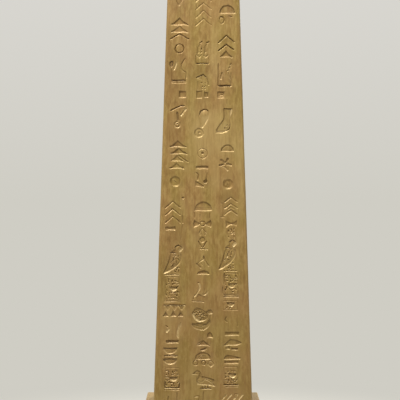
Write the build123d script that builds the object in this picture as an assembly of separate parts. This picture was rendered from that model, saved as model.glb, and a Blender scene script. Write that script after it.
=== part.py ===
"""Model obelisk on a moulded pedestal.

A solid cast shaft and its pyramidion stand on a stacked pedestal (cap, die, base moulding, base slab). One threaded
rod, set in the foot of the shaft, clamps the stack from a recess under the slab. Four felt pads carry the weight.
Millimetres, +Z up, origin at the middle of the surface that the pads stand on. One STEP file per piece.
"""

import os

from build123d import *

# ---- Shaft ----
SHAFT_BASE_WIDTH = 100.0
SHAFT_TOP_WIDTH = 70.0
SHAFT_HEIGHT = 490.0
SHAFT_ARRIS_RADIUS = 2.4

# ---- Pyramidion and the spigot that seats it in the shaft ----
PYRAMIDION_HEIGHT = 83.0
PYRAMIDION_TIP_WIDTH = 1.8
PYRAMIDION_ARRIS_RADIUS = 0.8
SPIGOT_WIDTH = 38.0
SPIGOT_LENGTH = 12.0
SPIGOT_SIDE_CLEARANCE = 0.3
SPIGOT_END_CLEARANCE = 1.0

# ---- Cap under the shaft: fascia over a cove and a fillet ----
LEDGE = 12.5
FASCIA_HEIGHT = 9.0
FASCIA_EASE = 1.2
CAP_COVE = 5.5
CAP_FILLET_HEIGHT = 2.0
CAP_FILLET_STEP = 1.0

# ---- Die, the plain block of the pedestal ----
DIE_HEIGHT = 58.0
DIE_ARRIS_RADIUS = 1.2

# ---- Base moulding: cove, fillet and torus ----
TORUS_RADIUS = 5.0
BASE_FILLET_HEIGHT = 1.6
BASE_FILLET_STEP = 2.0
BASE_COVE = 6.0
BASE_TOP_STEP = 1.0

# ---- Base slab ----
SLAB_HEIGHT = 16.0
SLAB_MARGIN = 4.0
SLAB_EASE = 1.5

# ---- Fixing under the slab ----
ROD_RADIUS = 4.0
ROD_IN_SHAFT = 60.0
ROD_GLUE_GAP = 0.3
ROD_CLEARANCE = 0.6
ROD_END_CHAMFER = 0.8
RECESS_RADIUS = 18.0
RECESS_DEPTH = 12.0
WASHER_RADIUS = 12.0
WASHER_THICKNESS = 1.8
NUT_ACROSS_FLATS = 13.0
NUT_HEIGHT = 6.5
NUT_CHAMFER = 0.6
THREAD_CLEARANCE = 0.05
ROD_BELOW_NUT = 1.2

# ---- Felt pads ----
PAD_RADIUS = 11.0
PAD_THICKNESS = 2.5
PAD_EDGE_EASE = 0.4
PAD_INSET = 9.0

# ---- Widths and levels that follow ----
CAP_WIDTH = SHAFT_BASE_WIDTH + 2 * LEDGE
DIE_WIDTH = CAP_WIDTH - 2 * (CAP_COVE + CAP_FILLET_STEP)
MOULDING_WIDTH = DIE_WIDTH + 2 * (BASE_TOP_STEP + BASE_COVE + BASE_FILLET_STEP + TORUS_RADIUS)
SLAB_WIDTH = MOULDING_WIDTH + 2 * SLAB_MARGIN

CAP_HEIGHT = CAP_FILLET_HEIGHT + CAP_COVE + FASCIA_HEIGHT
MOULDING_HEIGHT = 2 * TORUS_RADIUS + BASE_FILLET_HEIGHT + BASE_COVE + BASE_TOP_STEP

SLAB_BOTTOM = PAD_THICKNESS
MOULDING_BOTTOM = SLAB_BOTTOM + SLAB_HEIGHT
DIE_BOTTOM = MOULDING_BOTTOM + MOULDING_HEIGHT
CAP_BOTTOM = DIE_BOTTOM + DIE_HEIGHT
SHAFT_BOTTOM = CAP_BOTTOM + CAP_HEIGHT
SHAFT_TOP = SHAFT_BOTTOM + SHAFT_HEIGHT

RECESS_ROOF = SLAB_BOTTOM + RECESS_DEPTH
NUT_TOP = RECESS_ROOF - WASHER_THICKNESS
NUT_BOTTOM = NUT_TOP - NUT_HEIGHT
ROD_BOTTOM = NUT_BOTTOM - ROD_BELOW_NUT
ROD_TOP = SHAFT_BOTTOM + ROD_IN_SHAFT
PAD_CENTRE = SLAB_WIDTH / 2 - PAD_INSET - PAD_RADIUS


def square_frustum(low_width: float, high_width: float, bottom: float, height: float) -> Part:
    """Square block that tapers evenly from its foot to its head."""
    foot = Plane.XY.offset(bottom) * Rectangle(low_width, low_width)
    head = Plane.XY.offset(bottom + height) * Rectangle(high_width, high_width)
    return loft([foot, head])


def upright_rod(radius: float, bottom: float, top: float) -> Part:
    """Round bar on the vertical axis between two levels."""
    return Pos(0, 0, (bottom + top) / 2) * Cylinder(radius, top - bottom)


def square_block(width: float, bottom: float, height: float) -> Part:
    """Square block on the vertical axis."""
    return Pos(0, 0, bottom + height / 2) * Box(width, width, height)


def mitred_block(right_edge: list[Edge], width: float) -> Part:
    """Square block with one outline on all four sides, mitred at its corners.

    right_edge runs from the bottom to the top in the XZ plane, at positive X.
    """
    left_edge = [edge.mirror(Plane.YZ) for edge in right_edge]
    bottom = Line(left_edge[0] @ 0, right_edge[0] @ 0)
    top = Line(right_edge[-1] @ 1, left_edge[-1] @ 1)
    outline = make_face([bottom, top, *right_edge, *left_edge])
    run = extrude(outline, amount=width / 2, both=True, dir=(0, 1, 0))
    return run & Rot(0, 0, 90) * run


def upright_edges(block: Part) -> ShapeList[Edge]:
    """The four arrises of a tapered or straight square block."""
    return block.edges().filter_by(lambda edge: abs((edge @ 1 - edge @ 0).Z) > 0.5 * edge.length)


def make_shaft() -> Part:
    """Tapered shaft with rounded arrises, a socket in its top and a blind hole in its foot."""
    shaft = square_frustum(SHAFT_BASE_WIDTH, SHAFT_TOP_WIDTH, SHAFT_BOTTOM, SHAFT_HEIGHT)
    shaft = fillet(upright_edges(shaft), SHAFT_ARRIS_RADIUS)
    socket_depth = SPIGOT_LENGTH + SPIGOT_END_CLEARANCE
    shaft -= square_block(SPIGOT_WIDTH + 2 * SPIGOT_SIDE_CLEARANCE, SHAFT_TOP - socket_depth, socket_depth)
    shaft -= upright_rod(ROD_RADIUS + ROD_GLUE_GAP, SHAFT_BOTTOM, ROD_TOP + ROD_GLUE_GAP)
    return shaft


def make_pyramidion() -> Part:
    """Pointed top with a blunt tip, and a square spigot under it."""
    point = square_frustum(SHAFT_TOP_WIDTH, PYRAMIDION_TIP_WIDTH, SHAFT_TOP, PYRAMIDION_HEIGHT)
    point = fillet(upright_edges(point), PYRAMIDION_ARRIS_RADIUS)
    return point + square_block(SPIGOT_WIDTH, SHAFT_TOP - SPIGOT_LENGTH, SPIGOT_LENGTH)


def make_cap() -> Part:
    """Slab under the shaft: a fillet, a cove and a fascia with an eased top edge."""
    die_side = DIE_WIDTH / 2
    cove_foot = die_side + CAP_FILLET_STEP
    cove_bottom = CAP_BOTTOM + CAP_FILLET_HEIGHT
    fascia_bottom = cove_bottom + CAP_COVE
    side = CAP_WIDTH / 2
    edge = [
        Line((cove_foot, 0, CAP_BOTTOM), (cove_foot, 0, cove_bottom)),
        cove_arc(cove_foot, cove_bottom, side, fascia_bottom, (side, cove_bottom)),
        Line((side, 0, fascia_bottom), (side, 0, SHAFT_BOTTOM - FASCIA_EASE)),
        cove_arc(side, SHAFT_BOTTOM - FASCIA_EASE, side - FASCIA_EASE, SHAFT_BOTTOM,
                 (side - FASCIA_EASE, SHAFT_BOTTOM - FASCIA_EASE)),
    ]
    return mitred_block(edge, CAP_WIDTH) - rod_hole(CAP_BOTTOM, SHAFT_BOTTOM)


def cove_arc(x0: float, z0: float, x1: float, z1: float, centre: tuple[float, float]) -> Edge:
    """Quarter round in the XZ plane from one point to another about a centre."""
    cx, cz = centre
    radius = ((x0 - cx) ** 2 + (z0 - cz) ** 2) ** 0.5
    towards = Vector((x0 + x1) / 2 - cx, 0, (z0 + z1) / 2 - cz).normalized()
    middle = Vector(cx, 0, cz) + towards * radius
    return ThreePointArc((x0, 0, z0), middle, (x1, 0, z1))


def rod_hole(bottom: float, top: float) -> Part:
    """Hole that the rod passes through with room to spare."""
    return upright_rod(ROD_RADIUS + ROD_CLEARANCE, bottom, top)


def make_die() -> Part:
    """Plain block between the two mouldings."""
    die = square_block(DIE_WIDTH, DIE_BOTTOM, DIE_HEIGHT)
    die = fillet(upright_edges(die), DIE_ARRIS_RADIUS)
    return die - rod_hole(DIE_BOTTOM, CAP_BOTTOM)


def make_base_moulding() -> Part:
    """Moulding under the die: a torus, a fillet, a cove and a small top step."""
    top_side = DIE_WIDTH / 2 + BASE_TOP_STEP
    cove_side = top_side + BASE_COVE
    torus_axis = cove_side + BASE_FILLET_STEP
    torus_top = MOULDING_BOTTOM + 2 * TORUS_RADIUS
    cove_bottom = torus_top + BASE_FILLET_HEIGHT
    cove_top = cove_bottom + BASE_COVE
    edge = [
        ThreePointArc((torus_axis, 0, MOULDING_BOTTOM), (torus_axis + TORUS_RADIUS, 0, MOULDING_BOTTOM + TORUS_RADIUS),
                      (torus_axis, 0, torus_top)),
        Line((torus_axis, 0, torus_top), (cove_side, 0, torus_top)),
        Line((cove_side, 0, torus_top), (cove_side, 0, cove_bottom)),
        cove_arc(cove_side, cove_bottom, top_side, cove_top, (cove_side, cove_top)),
        Line((top_side, 0, cove_top), (top_side, 0, DIE_BOTTOM)),
    ]
    return mitred_block(edge, MOULDING_WIDTH) - rod_hole(MOULDING_BOTTOM, DIE_BOTTOM)


def make_base_slab() -> Part:
    """Foot slab with an eased top edge, and a round recess for the nut underneath."""
    side = SLAB_WIDTH / 2
    edge = [
        Line((side, 0, SLAB_BOTTOM), (side, 0, MOULDING_BOTTOM - SLAB_EASE)),
        cove_arc(side, MOULDING_BOTTOM - SLAB_EASE, side - SLAB_EASE, MOULDING_BOTTOM,
                 (side - SLAB_EASE, MOULDING_BOTTOM - SLAB_EASE)),
    ]
    slab = mitred_block(edge, SLAB_WIDTH)
    return slab - upright_rod(RECESS_RADIUS, SLAB_BOTTOM, RECESS_ROOF) - rod_hole(RECESS_ROOF, MOULDING_BOTTOM)


def make_rod() -> Part:
    """Threaded rod at its outer diameter, chamfered at both ends."""
    rod = upright_rod(ROD_RADIUS, ROD_BOTTOM, ROD_TOP)
    return chamfer(rod.edges().filter_by(GeomType.CIRCLE), ROD_END_CHAMFER)


def make_washer() -> Part:
    """Wide washer against the roof of the recess."""
    return upright_rod(WASHER_RADIUS, NUT_TOP, RECESS_ROOF) - rod_hole(NUT_TOP, RECESS_ROOF)


def make_nut() -> Part:
    """Hexagon nut with its corners turned off at both faces."""
    hexagon = Plane.XY.offset(NUT_BOTTOM) * RegularPolygon(NUT_ACROSS_FLATS / 2, 6, major_radius=False)
    nut = extrude(hexagon, amount=NUT_HEIGHT)
    corner_radius = NUT_ACROSS_FLATS / 3 ** 0.5
    turned = upright_rod(corner_radius, NUT_BOTTOM, NUT_TOP)
    turned = chamfer(turned.edges().filter_by(GeomType.CIRCLE), NUT_CHAMFER)
    return (nut & turned) - upright_rod(ROD_RADIUS + THREAD_CLEARANCE, NUT_BOTTOM, NUT_TOP)


def make_foot_pad(x: float, y: float) -> Part:
    """Round felt pad with an eased rim, at one corner of the slab."""
    pad = Pos(x, y, PAD_THICKNESS / 2) * Cylinder(PAD_RADIUS, PAD_THICKNESS)
    return fillet(pad.edges().filter_by(GeomType.CIRCLE).group_by(Axis.Z)[0], PAD_EDGE_EASE)


def make_pieces() -> dict[str, Part]:
    """Every piece of the obelisk by its name."""
    pieces = {
        "shaft": make_shaft(),
        "pyramidion": make_pyramidion(),
        "plinth_cap": make_cap(),
        "pedestal_die": make_die(),
        "base_moulding": make_base_moulding(),
        "base_slab": make_base_slab(),
        "fixing_rod": make_rod(),
        "fixing_washer": make_washer(),
        "fixing_nut": make_nut(),
    }
    for row, y in (("front", -PAD_CENTRE), ("back", PAD_CENTRE)):
        for side, x in (("left", -PAD_CENTRE), ("right", PAD_CENTRE)):
            pieces[f"foot_pad_{row}_{side}"] = make_foot_pad(x, y)
    return pieces


os.makedirs("parts", exist_ok=True)
for name, piece in make_pieces().items():
    export_step(piece, f"parts/{name}.step")
    size = piece.bounding_box().size
    print(f"{name}: {size.X:.1f} x {size.Y:.1f} x {size.Z:.1f} mm, {piece.volume / 1000:.2f} ml")
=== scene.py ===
"""Visual model of a cast obelisk on a moulded pedestal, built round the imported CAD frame.

The shaft's four faces carry three columns of sunk picture signs. Each face is drawn flat as cuts in
millimetres, turned into a triangle sheet whose edges follow the cuts, and wrapped round the tapered shaft by
a geometry tree.
"""

import logging
import math
from collections.abc import Callable, Iterable, Iterator, Sequence
from contextlib import contextmanager
from dataclasses import dataclass, field
from enum import Enum
from functools import cache, partial

import bmesh
import bpy
import numpy as np
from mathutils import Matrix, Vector
from mathutils.geometry import delaunay_2d_cdt


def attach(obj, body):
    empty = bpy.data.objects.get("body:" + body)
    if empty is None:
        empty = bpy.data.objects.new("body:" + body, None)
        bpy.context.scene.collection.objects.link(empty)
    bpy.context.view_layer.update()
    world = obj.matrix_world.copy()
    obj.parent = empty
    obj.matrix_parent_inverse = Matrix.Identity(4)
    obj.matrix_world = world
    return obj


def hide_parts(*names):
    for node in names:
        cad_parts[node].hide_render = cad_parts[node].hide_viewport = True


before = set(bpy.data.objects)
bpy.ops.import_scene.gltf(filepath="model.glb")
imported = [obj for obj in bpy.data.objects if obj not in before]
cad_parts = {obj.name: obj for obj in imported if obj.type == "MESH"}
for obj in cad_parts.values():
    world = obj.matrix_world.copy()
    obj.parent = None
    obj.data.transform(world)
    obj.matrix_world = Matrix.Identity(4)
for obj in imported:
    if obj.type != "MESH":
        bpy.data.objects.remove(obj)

MM = 0.001
WELD = 2e-6
LOG = logging.getLogger("obelisk")

Point = tuple[float, float]
Piece = bpy.types.Object
Material = bpy.types.Material
Tree = bpy.types.NodeTree
Node = bpy.types.Node


# ---- Small tools ----


def linear(colour: str) -> tuple[float, float, float, float]:
    """Turns an sRGB hex colour into a linear one with full alpha.

    Args:
        colour: six hex digits after a hash sign.

    Returns:
        Red, green, blue and alpha.
    """
    parts = [int(colour[i : i + 2], 16) / 255 for i in (1, 3, 5)]
    low = [p / 12.92 if p <= 0.04045 else ((p + 0.055) / 1.055) ** 2.4 for p in parts]
    return (*low, 1.0)


def feed(tree: Tree, node: Node, inputs: dict | Sequence) -> None:
    """Fills or links a node's inputs.

    Args:
        tree: the shader or geometry tree.
        node: the node.
        inputs: values, hex colours, sockets or nodes in the order of the node's live inputs, or by their
            name. A node stands for its first live output, and None leaves an input alone.
    """
    live = [socket for socket in node.inputs if socket.enabled]
    for key, value in inputs.items() if isinstance(inputs, dict) else enumerate(inputs):
        socket = live[key] if isinstance(key, int) else next(s for s in live if s.name == key)
        if isinstance(value, Node):
            value = next(s for s in value.outputs if s.enabled)
        if isinstance(value, str) and value.startswith("#"):
            value = linear(value)
        if isinstance(value, bpy.types.NodeSocket):
            tree.links.new(value, socket)
        elif value is not None:
            socket.default_value = value


def add_node(tree: Tree, kind: str, inputs: dict | Sequence = (), **settings: object) -> Node:
    """Adds one node with its settings and links.

    Args:
        tree: the shader or geometry tree.
        kind: the node's type without its prefix, or in capitals the operation of a Math node.
        inputs: what its inputs are fed with.
        settings: the node's own properties.

    Returns:
        The new node.
    """
    if kind.isupper():
        kind, settings = "Math", {"operation": kind, **settings}
    prefix = next(p for p in ("ShaderNode", "GeometryNode", "Node") if hasattr(bpy.types, p + kind))
    new = tree.nodes.new(prefix + kind)
    for key, value in settings.items():
        setattr(new, key, value)
    feed(tree, new, inputs)
    return new


def mesh_object(name: str, vertices: Iterable, faces: Iterable, attributes: dict | None = None) -> Piece:
    """Makes a mesh object at the origin.

    Args:
        name: the piece's name.
        vertices: corners in metres.
        faces: corner numbers of each face.
        attributes: by name, one number for each vertex.

    Returns:
        The linked object.
    """
    mesh = bpy.data.meshes.new(name)
    mesh.from_pydata([tuple(v) for v in vertices], [], [tuple(f) for f in faces])
    for key, values in (attributes or {}).items():
        attribute = mesh.attributes.new(key, "FLOAT", "POINT")
        attribute.data.foreach_set("value", np.asarray(values, dtype=np.float32))
    mesh.validate()
    piece = bpy.data.objects.new(name, mesh)
    bpy.context.collection.objects.link(piece)
    return piece


@contextmanager
def opened(piece: Piece) -> Iterator[bmesh.types.BMesh]:
    """Opens a piece's mesh for changes, and puts it back with its faces turned outwards.

    Args:
        piece: whose mesh it is.

    Yields:
        The open mesh.
    """
    mesh = bmesh.new()
    mesh.from_mesh(piece.data)
    yield mesh
    bmesh.ops.recalc_face_normals(mesh, faces=mesh.faces)
    mesh.to_mesh(piece.data)
    mesh.free()


def grow(piece: Piece, material: Material, *stages: tuple[Tree, dict]) -> None:
    """Runs geometry trees on a piece, one after another, and keeps the result as a plain mesh.

    Args:
        piece: the object that carries the modifiers.
        material: what each tree dresses it in.
        stages: each tree with what its other inputs are set to, by their names.
    """
    for tree, sizes in stages:
        modifier = piece.modifiers.new(tree.name, "NODES")
        modifier.node_group = tree
        values = {**sizes, "Material": material}
        for item in tree.interface.items_tree:
            if item.item_type == "SOCKET" and item.in_out == "INPUT" and item.name in values:
                modifier[item.identifier] = values[item.name]
    graph = bpy.context.evaluated_depsgraph_get()
    graph.update()
    grown = piece.evaluated_get(graph)
    baked = bpy.data.meshes.new_from_object(grown, preserve_all_data_layers=True, depsgraph=graph)
    piece.modifiers.clear()
    baked.name = piece.name
    piece.data = baked


def start_tree(name: str, sizes: list[str], counts: Sequence[str] = ()) -> tuple[Tree, Sequence, Callable]:
    """Starts a geometry tree with named inputs, between a Geometry and a Material one.

    Args:
        name: the tree's name.
        sizes: names of the inputs that are lengths or angles.
        counts: names of those that are whole numbers.

    Returns:
        The tree, what its inputs give by name, and add_node for it.
    """
    tree = bpy.data.node_groups.new(name, "GeometryNodeTree")
    tree.interface.new_socket("Geometry", in_out="INPUT", socket_type="NodeSocketGeometry")
    for keys, kind in ((sizes, "Float"), (counts, "Int"), (["Material"], "Material")):
        for key in keys:
            tree.interface.new_socket(key, in_out="INPUT", socket_type="NodeSocket" + kind)
    tree.interface.new_socket("Geometry", in_out="OUTPUT", socket_type="NodeSocketGeometry")
    return tree, tree.nodes.new("NodeGroupInput").outputs, partial(add_node, tree)


def end_tree(tree: Tree, given: Sequence, geometry: Node) -> Tree:
    """Ends a geometry tree: instances become mesh, doubles are merged and the material is set.

    Args:
        tree: the tree.
        given: what its inputs give.
        geometry: the node that gives the shape.

    Returns:
        The tree.
    """
    whole = add_node(tree, "RealizeInstances", [geometry])
    welded = add_node(tree, "MergeByDistance", {"Geometry": whole, "Distance": WELD})
    dressed = add_node(tree, "SetMaterial", {"Geometry": welded, "Material": given["Material"]})
    add_node(tree, "GroupOutput", [dressed])
    return tree


def finish_surface(piece: Piece, sharp_degrees: float) -> None:
    """Shades a piece smoothly, with creases where its faces turn by more than an angle."""
    piece.data.shade_smooth()
    piece.data.set_sharp_from_angle(angle=math.radians(sharp_degrees))


def hand_over(piece: Piece, slot: str, *nodes: str) -> None:
    """Puts a finished piece in the place of CAD nodes.

    Args:
        piece: the finished piece.
        slot: the record's material slot; not used.
        nodes: the CAD nodes that it stands for.
    """
    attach(piece, "root")
    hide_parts(*nodes)
    LOG.info("%s: %d faces", piece.name, len(piece.data.polygons))


# ---- Outlines and cuts, in millimetres on the flat face ----


def spline(points: Sequence[Point], closed: bool, steps: int = 6) -> list[Point]:
    """Smooth curve through points.

    Args:
        points: what the curve passes through.
        closed: whether it returns to its start.
        steps: pieces between two points.

    Returns:
        Points along the curve.
    """
    p = np.asarray(points, dtype=float)
    if closed:
        p = np.vstack([p[-1], p, p[0], p[1]])
    else:
        p = np.vstack([2 * p[0] - p[1], p, 2 * p[-1] - p[-2]])
    t = np.linspace(0, 1, steps, endpoint=False)[:, None]
    curve = []
    for a, b, c, d in zip(p, p[1:], p[2:], p[3:]):
        bends = (2 * a - 5 * b + 4 * c - d) * t**2
        curve.append(0.5 * (2 * b + (c - a) * t + bends + (3 * (b - c) + d - a) * t**3))
    out = [tuple(q) for q in np.vstack(curve)]
    return out if closed else [*out, tuple(p[-2])]


def arc(x: float, z: float, rx: float, rz: float, start: float, end: float, steps: int = 14) -> list[Point]:
    """Points of an elliptical arc about (x, z), from one angle in degrees to another, counted from +x."""
    angles = np.radians(np.linspace(start, end, steps + 1))
    return [(x + rx * math.cos(a), z + rz * math.sin(a)) for a in angles]


def circle(x: float, z: float, radius: float) -> list[Point]:
    """Points of a full circle."""
    return arc(x, z, radius, radius, 0, 360, 24)[:-1]


class Floor(Enum):
    """How the bottom of a cut is worked: how much its middle rises."""

    FLAT = 0.0
    PILLOW = 0.6


@dataclass(frozen=True)
class Cut:
    """One cut: a groove along a line, or an area sunk inside a closed outline.

    A tilt of 1 leaves the foot of a cut shallow, one of -1 its head. An inner cut lies in the floor of
    another. DARK_GROUND_AND_SHADE is the look of a cut with brown ground and painted shade left in it,
    PALE_RUB_AND_HIGHLIGHT and BRIGHT_RUB_AND_HIGHLIGHT are those of cuts with worn bright paint and a painted
    highlight.
    """

    points: tuple[Point, ...]
    depth: float
    floor: Floor = Floor.FLAT
    width: float = 0.0
    closed: bool = True
    tilt: float = 0.0
    # The next two fields set paint worn bright at the lip, which also paints a highlight, and brown ground at
    # the foot of the walls, which also paints shade.
    rub: float = 1.0
    dirt: float = 1.0
    run: float = 0.85
    inner: bool = False

    DEPTH_SHARE = 0.65
    CROWN_REACH = 1.6
    LIP = 0.4

    @property
    def box(self) -> tuple[float, float, float, float]:
        """What the cut can touch.

        Returns:
            Its lowest and highest x, then its lowest and highest z.
        """
        x, z = np.asarray(self.points).T
        edge = self.width / 2 + ReliefSheet.REACH
        return x.min() - edge, x.max() + edge, z.min() - edge, z.max() + edge

    def inside(self, x: np.ndarray, z: np.ndarray) -> np.ndarray:
        """How far points lie inside the cut's lip; an area's outline is the middle of its wall.

        Args:
            x: places across the face.
            z: heights on the face.

        Returns:
            Distances, negative outside.
        """
        p = np.asarray(self.points)
        ends = np.roll(p, -1, axis=0) if self.closed else p[1:]
        starts = p if self.closed else p[:-1]
        nearest = np.full(np.shape(x), np.inf)
        within = np.zeros(np.shape(x), dtype=bool)
        for (ax, az), (bx, bz) in zip(starts, ends):
            dx, dz = bx - ax, bz - az
            t = np.clip(((x - ax) * dx + (z - az) * dz) / max(dx * dx + dz * dz, 1e-12), 0, 1)
            nearest = np.minimum(nearest, (x - ax - t * dx) ** 2 + (z - az - t * dz) ** 2)
            if abs(dz) > 1e-9:
                within ^= ((az > z) != (bz > z)) & (x < (z - az) / dz * dx + ax)
        nearest = np.sqrt(nearest)
        if self.width:
            return self.width / 2 - nearest
        return np.where(within, nearest, -nearest) + self.LIP

    def worked(self, x: np.ndarray, z: np.ndarray) -> dict[str, np.ndarray]:
        """What the cut does to the face at points.

        Args:
            x: places across the face.
            z: heights on the face.

        Returns:
            How far inside the cut they lie, their depth, their brown ground with painted shade, and their
            worn bright paint with painted highlight.
        """
        inside = self.inside(x, z)
        u = np.clip(inside / self.run, 0, 1)
        crown = self.floor.value * (1 - np.exp(-np.maximum(inside - self.run, 0) / self.CROWN_REACH))
        heights = [point[1] for point in self.points]
        up = np.clip((z - min(heights)) / (np.ptp(heights) + 0.1), 0, 1)
        slant = 1 - abs(self.tilt) * (1 - up if self.tilt > 0 else up)
        depth = self.DEPTH_SHARE * self.depth * slant * u * u * (3 - 2 * u) * (1 - crown)
        # Brown ground at the foot of the walls, also painted shade there; paint worn bright at the lip and,
        # past a share of 1, over the whole groove, also a painted highlight.
        dirt = self.dirt * np.clip(depth / 0.9, 0, 1) * np.exp(-(((inside - 0.9) / 0.75) ** 2))
        rub = min(self.rub, 1) * np.exp(-(((inside + 0.1) / 0.4) ** 2))
        rub = np.maximum(rub, max(self.rub - 1, 0) * (inside > -0.1) * np.exp(-(((inside - 0.7) / 0.8) ** 2)))
        return {"inside": inside, "depth": depth, "recess": dirt, "rub": rub}


# Looks of cuts: the first paints shade with brown ground, the other two paint a highlight with worn bright
# paint.
DARK_GROUND_AND_SHADE = {"dirt": 2.4, "rub": 0.0}
PALE_RUB_AND_HIGHLIGHT = {"dirt": 0.0, "rub": 2.3}
BRIGHT_RUB_AND_HIGHLIGHT = {"dirt": 0.0, "rub": 5.5}


class Carving:
    """Picture signs cut into one flat face. Places are (x from its middle, z from its foot)."""

    def __init__(self) -> None:
        """Starts with a bare face."""
        self.cuts: list[Cut] = []
        self.stains: list[tuple[float, float, float, float, float]] = []
        self.origin: Point = (0.0, 0.0)

    def sign(self, place: Point, draw: Callable[[], None]) -> None:
        """Draws a sign whose own place is at a point of the face.

        Args:
            place: where the sign's own place lies.
            draw: the method that cuts the sign.
        """
        self.origin = place
        draw()
        self.origin = (0.0, 0.0)

    def area(self, points: Sequence[Point], depth: float = 1.3, floor: Floor = Floor.FLAT, at: Point = (0, 0),
             rounded: bool = False, closed: bool = True, **look: float | bool) -> None:
        """Sinks a closed outline, or cuts a groove along a line where a width is given.

        Args:
            points: the outline, from where it is put.
            depth: how deep the cut is.
            floor: how its bottom is worked.
            at: where it is put, from the sign's own place.
            rounded: whether it is a smooth curve through its points.
            closed: whether it returns to its start.
            look: the cut's width, tilt, rub, dirt, run and inner.
        """
        x, z = self.origin[0] + at[0], self.origin[1] + at[1]
        path = spline(points, closed) if rounded else points
        self.cuts.append(Cut(tuple((x + a, z + b) for a, b in path), depth, floor, closed=closed, **look))

    def line(self, points: Sequence[Point], width: float = 1.7, depth: float = 1.0, at: Point = (0, 0),
             closed: bool = False, **look: float | bool) -> None:
        """Cuts a groove along a line, which is given as an area's outline is."""
        self.area(points, depth, at=at, closed=closed, width=width, **look)

    # Plain signs

    def chevrons(self, at: Point, spread: float, rise: float, pitch: float = 0.0, count: int = 1,
                 width: float = 1.9, **look: float | bool) -> None:
        """Stack of open angles, from the lowest up."""
        for z in np.arange(count) * pitch + at[1]:
            self.line([(-spread / 2, 0), (0, rise), (spread / 2, 0.4)], width, at=(at[0], z), **look)

    def triangle(self, at: Point, spread: float, rise: float, depth: float = 1.2) -> None:
        """Sunk triangle on the middle of its foot, with thin spread feet, of which the right one drags."""
        side = spread / 2
        self.area([(-side, 0), (-side, 0.9), (-0.74 * side, 0.24 * rise), (0, rise),
                   (0.44 * side, 0.47 * rise), (side + 0.4, 0.3), (side + 0.4, -0.7), (0.5 * side, 0.2)],
                  depth, at=at)

    def wedges(self, at: Point, spread: float, rise: float, pitch: float, count: int,
               depth: float = 1.5) -> None:
        """Row of small triangles about a point; a negative rise turns them over."""
        for middle in (np.arange(count) - (count - 1) / 2) * pitch:
            self.area([(middle - spread / 2, 0), (middle, rise), (middle + spread / 2, 0)], depth, at=at)

    def disc(self, at: Point, radius: float, floor: Floor = Floor.FLAT, depth: float = 1.3,
             **look: float | bool) -> None:
        """Round sunk sign."""
        self.area(circle(0, 0, radius), depth, floor, at, **look)

    def ring(self, at: Point, radius: float, width: float = 1.7, depth: float = 0.9,
             **look: float | bool) -> None:
        """Round groove."""
        self.line(circle(0, 0, radius), width, depth, at, closed=True, **look)

    def bar(self, at: Point, width: float, height: float, depth: float = 1.4, **look: float | bool) -> None:
        """Sunk oblong from its middle bottom."""
        side = width / 2
        self.area([(-side, 0), (side, 0), (side, height), (-side, height)], depth, at=at, **look)

    def loaf(self, at: Point, width: float, height: float, floor: Floor = Floor.FLAT) -> None:
        """Half-round sign with a flat foot."""
        self.area([*arc(0, 0.12 * height, width / 2, 0.88 * height, 0, 180), (-width / 2, 0), (width / 2, 0)],
                  floor=floor, at=at)

    def bowl(self, at: Point, width: float, height: float, depth: float = 1.6,
             floor: Floor = Floor.FLAT) -> None:
        """Half-round sign with a flat rim at its top, placed by its lowest point."""
        self.area(arc(0, height, width / 2, height, 180, 360), depth, floor, at, rub=2.0, dirt=0.6)

    def bow(self, at: Point, width: float, height: float, waist: float, depth: float = 1.2) -> None:
        """Lens about its middle, whose long sides are drawn in to a waist of the height given."""
        side, tall = width / 2, height / 2
        self.area([(-side, tall), (0, waist / 2), (side, tall), (side + 0.6, 0), (side, -0.8 * tall),
                   (0, 0.1 * tall - waist), (-side, -0.8 * tall), (-side - 0.6, 0)], depth, at=at)

    def pecks(self, outline: Sequence[Point], seed: int, pitch: float = 2.9, depth: float = 1.5,
              clear: Point | None = None, inner: bool = True) -> None:
        """Fills an outline with short marks that turn every way.

        Args:
            outline: what the marks stay inside, from the sign's own place.
            seed: what the marks' places, turns and lengths are drawn from.
            pitch: how far apart they are.
            depth: how deep they are.
            clear: the middle of a sign that the marks leave room for.
            inner: whether they lie in the floor of another cut.
        """
        random = np.random.default_rng(seed)
        shape = Cut(tuple(outline), 0)
        low, high = np.min(outline, axis=0), np.max(outline, axis=0)
        xs, zs = np.meshgrid(np.arange(low[0] + 1.2, high[0], pitch), np.arange(low[1] + 1.2, high[1], pitch))
        xs, zs = (places.ravel() + random.uniform(-0.7, 0.7, places.size) for places in (xs, zs))
        room = shape.inside(xs, zs) > 1.5
        if clear:
            room &= (abs(xs - clear[0]) > 4.6) | (abs(zs - clear[1] - 0.4) > 2.9)
        for x, z in zip(xs[room], zs[room]):
            turn, size = random.choice((0.0, 0.8, 1.57, 2.4)), random.uniform(0.4, 1.2)
            run, rise = size * math.cos(turn), size * math.sin(turn)
            self.line([(-run, -rise), (run, rise)], 1.5, depth * random.uniform(0.9, 1.5), (x, z), rub=0.6,
                      dirt=random.uniform(0.2, 2.6), inner=inner)

    def framed_group(self, low: Point, high: Point, bowl: Point, seed: int) -> None:
        """Upright frame round a bowl and rows of small marks.

        Args:
            low: the frame's lower left corner.
            high: its upper right corner.
            bowl: lowest point of the bowl.
            seed: what the marks are drawn from.
        """
        corners = [low, (high[0], low[1]), high, (low[0], high[1])]
        self.line(corners, 1.4, 0.7, closed=True, rub=0.3)
        self.bowl(bowl, 7.8, 4.4, 1.7, Floor.PILLOW)
        self.line([(-3, 3.4), (3, 3.4)], 1.9, 1.9, bowl, inner=True, **DARK_GROUND_AND_SHADE)
        self.line([(-2.4, 1.7), (0, 0.6), (2.4, 1.7)], 1.7, 0.8, bowl, rounded=True, **BRIGHT_RUB_AND_HIGHLIGHT)
        inset = [(x, z + lift) for (x, z), lift in zip(corners, (1, 1, -1, -1))]
        self.pecks(inset, seed=seed, pitch=2.8, depth=1.2, clear=(bowl[0], bowl[1] + 2), inner=False)

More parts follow.
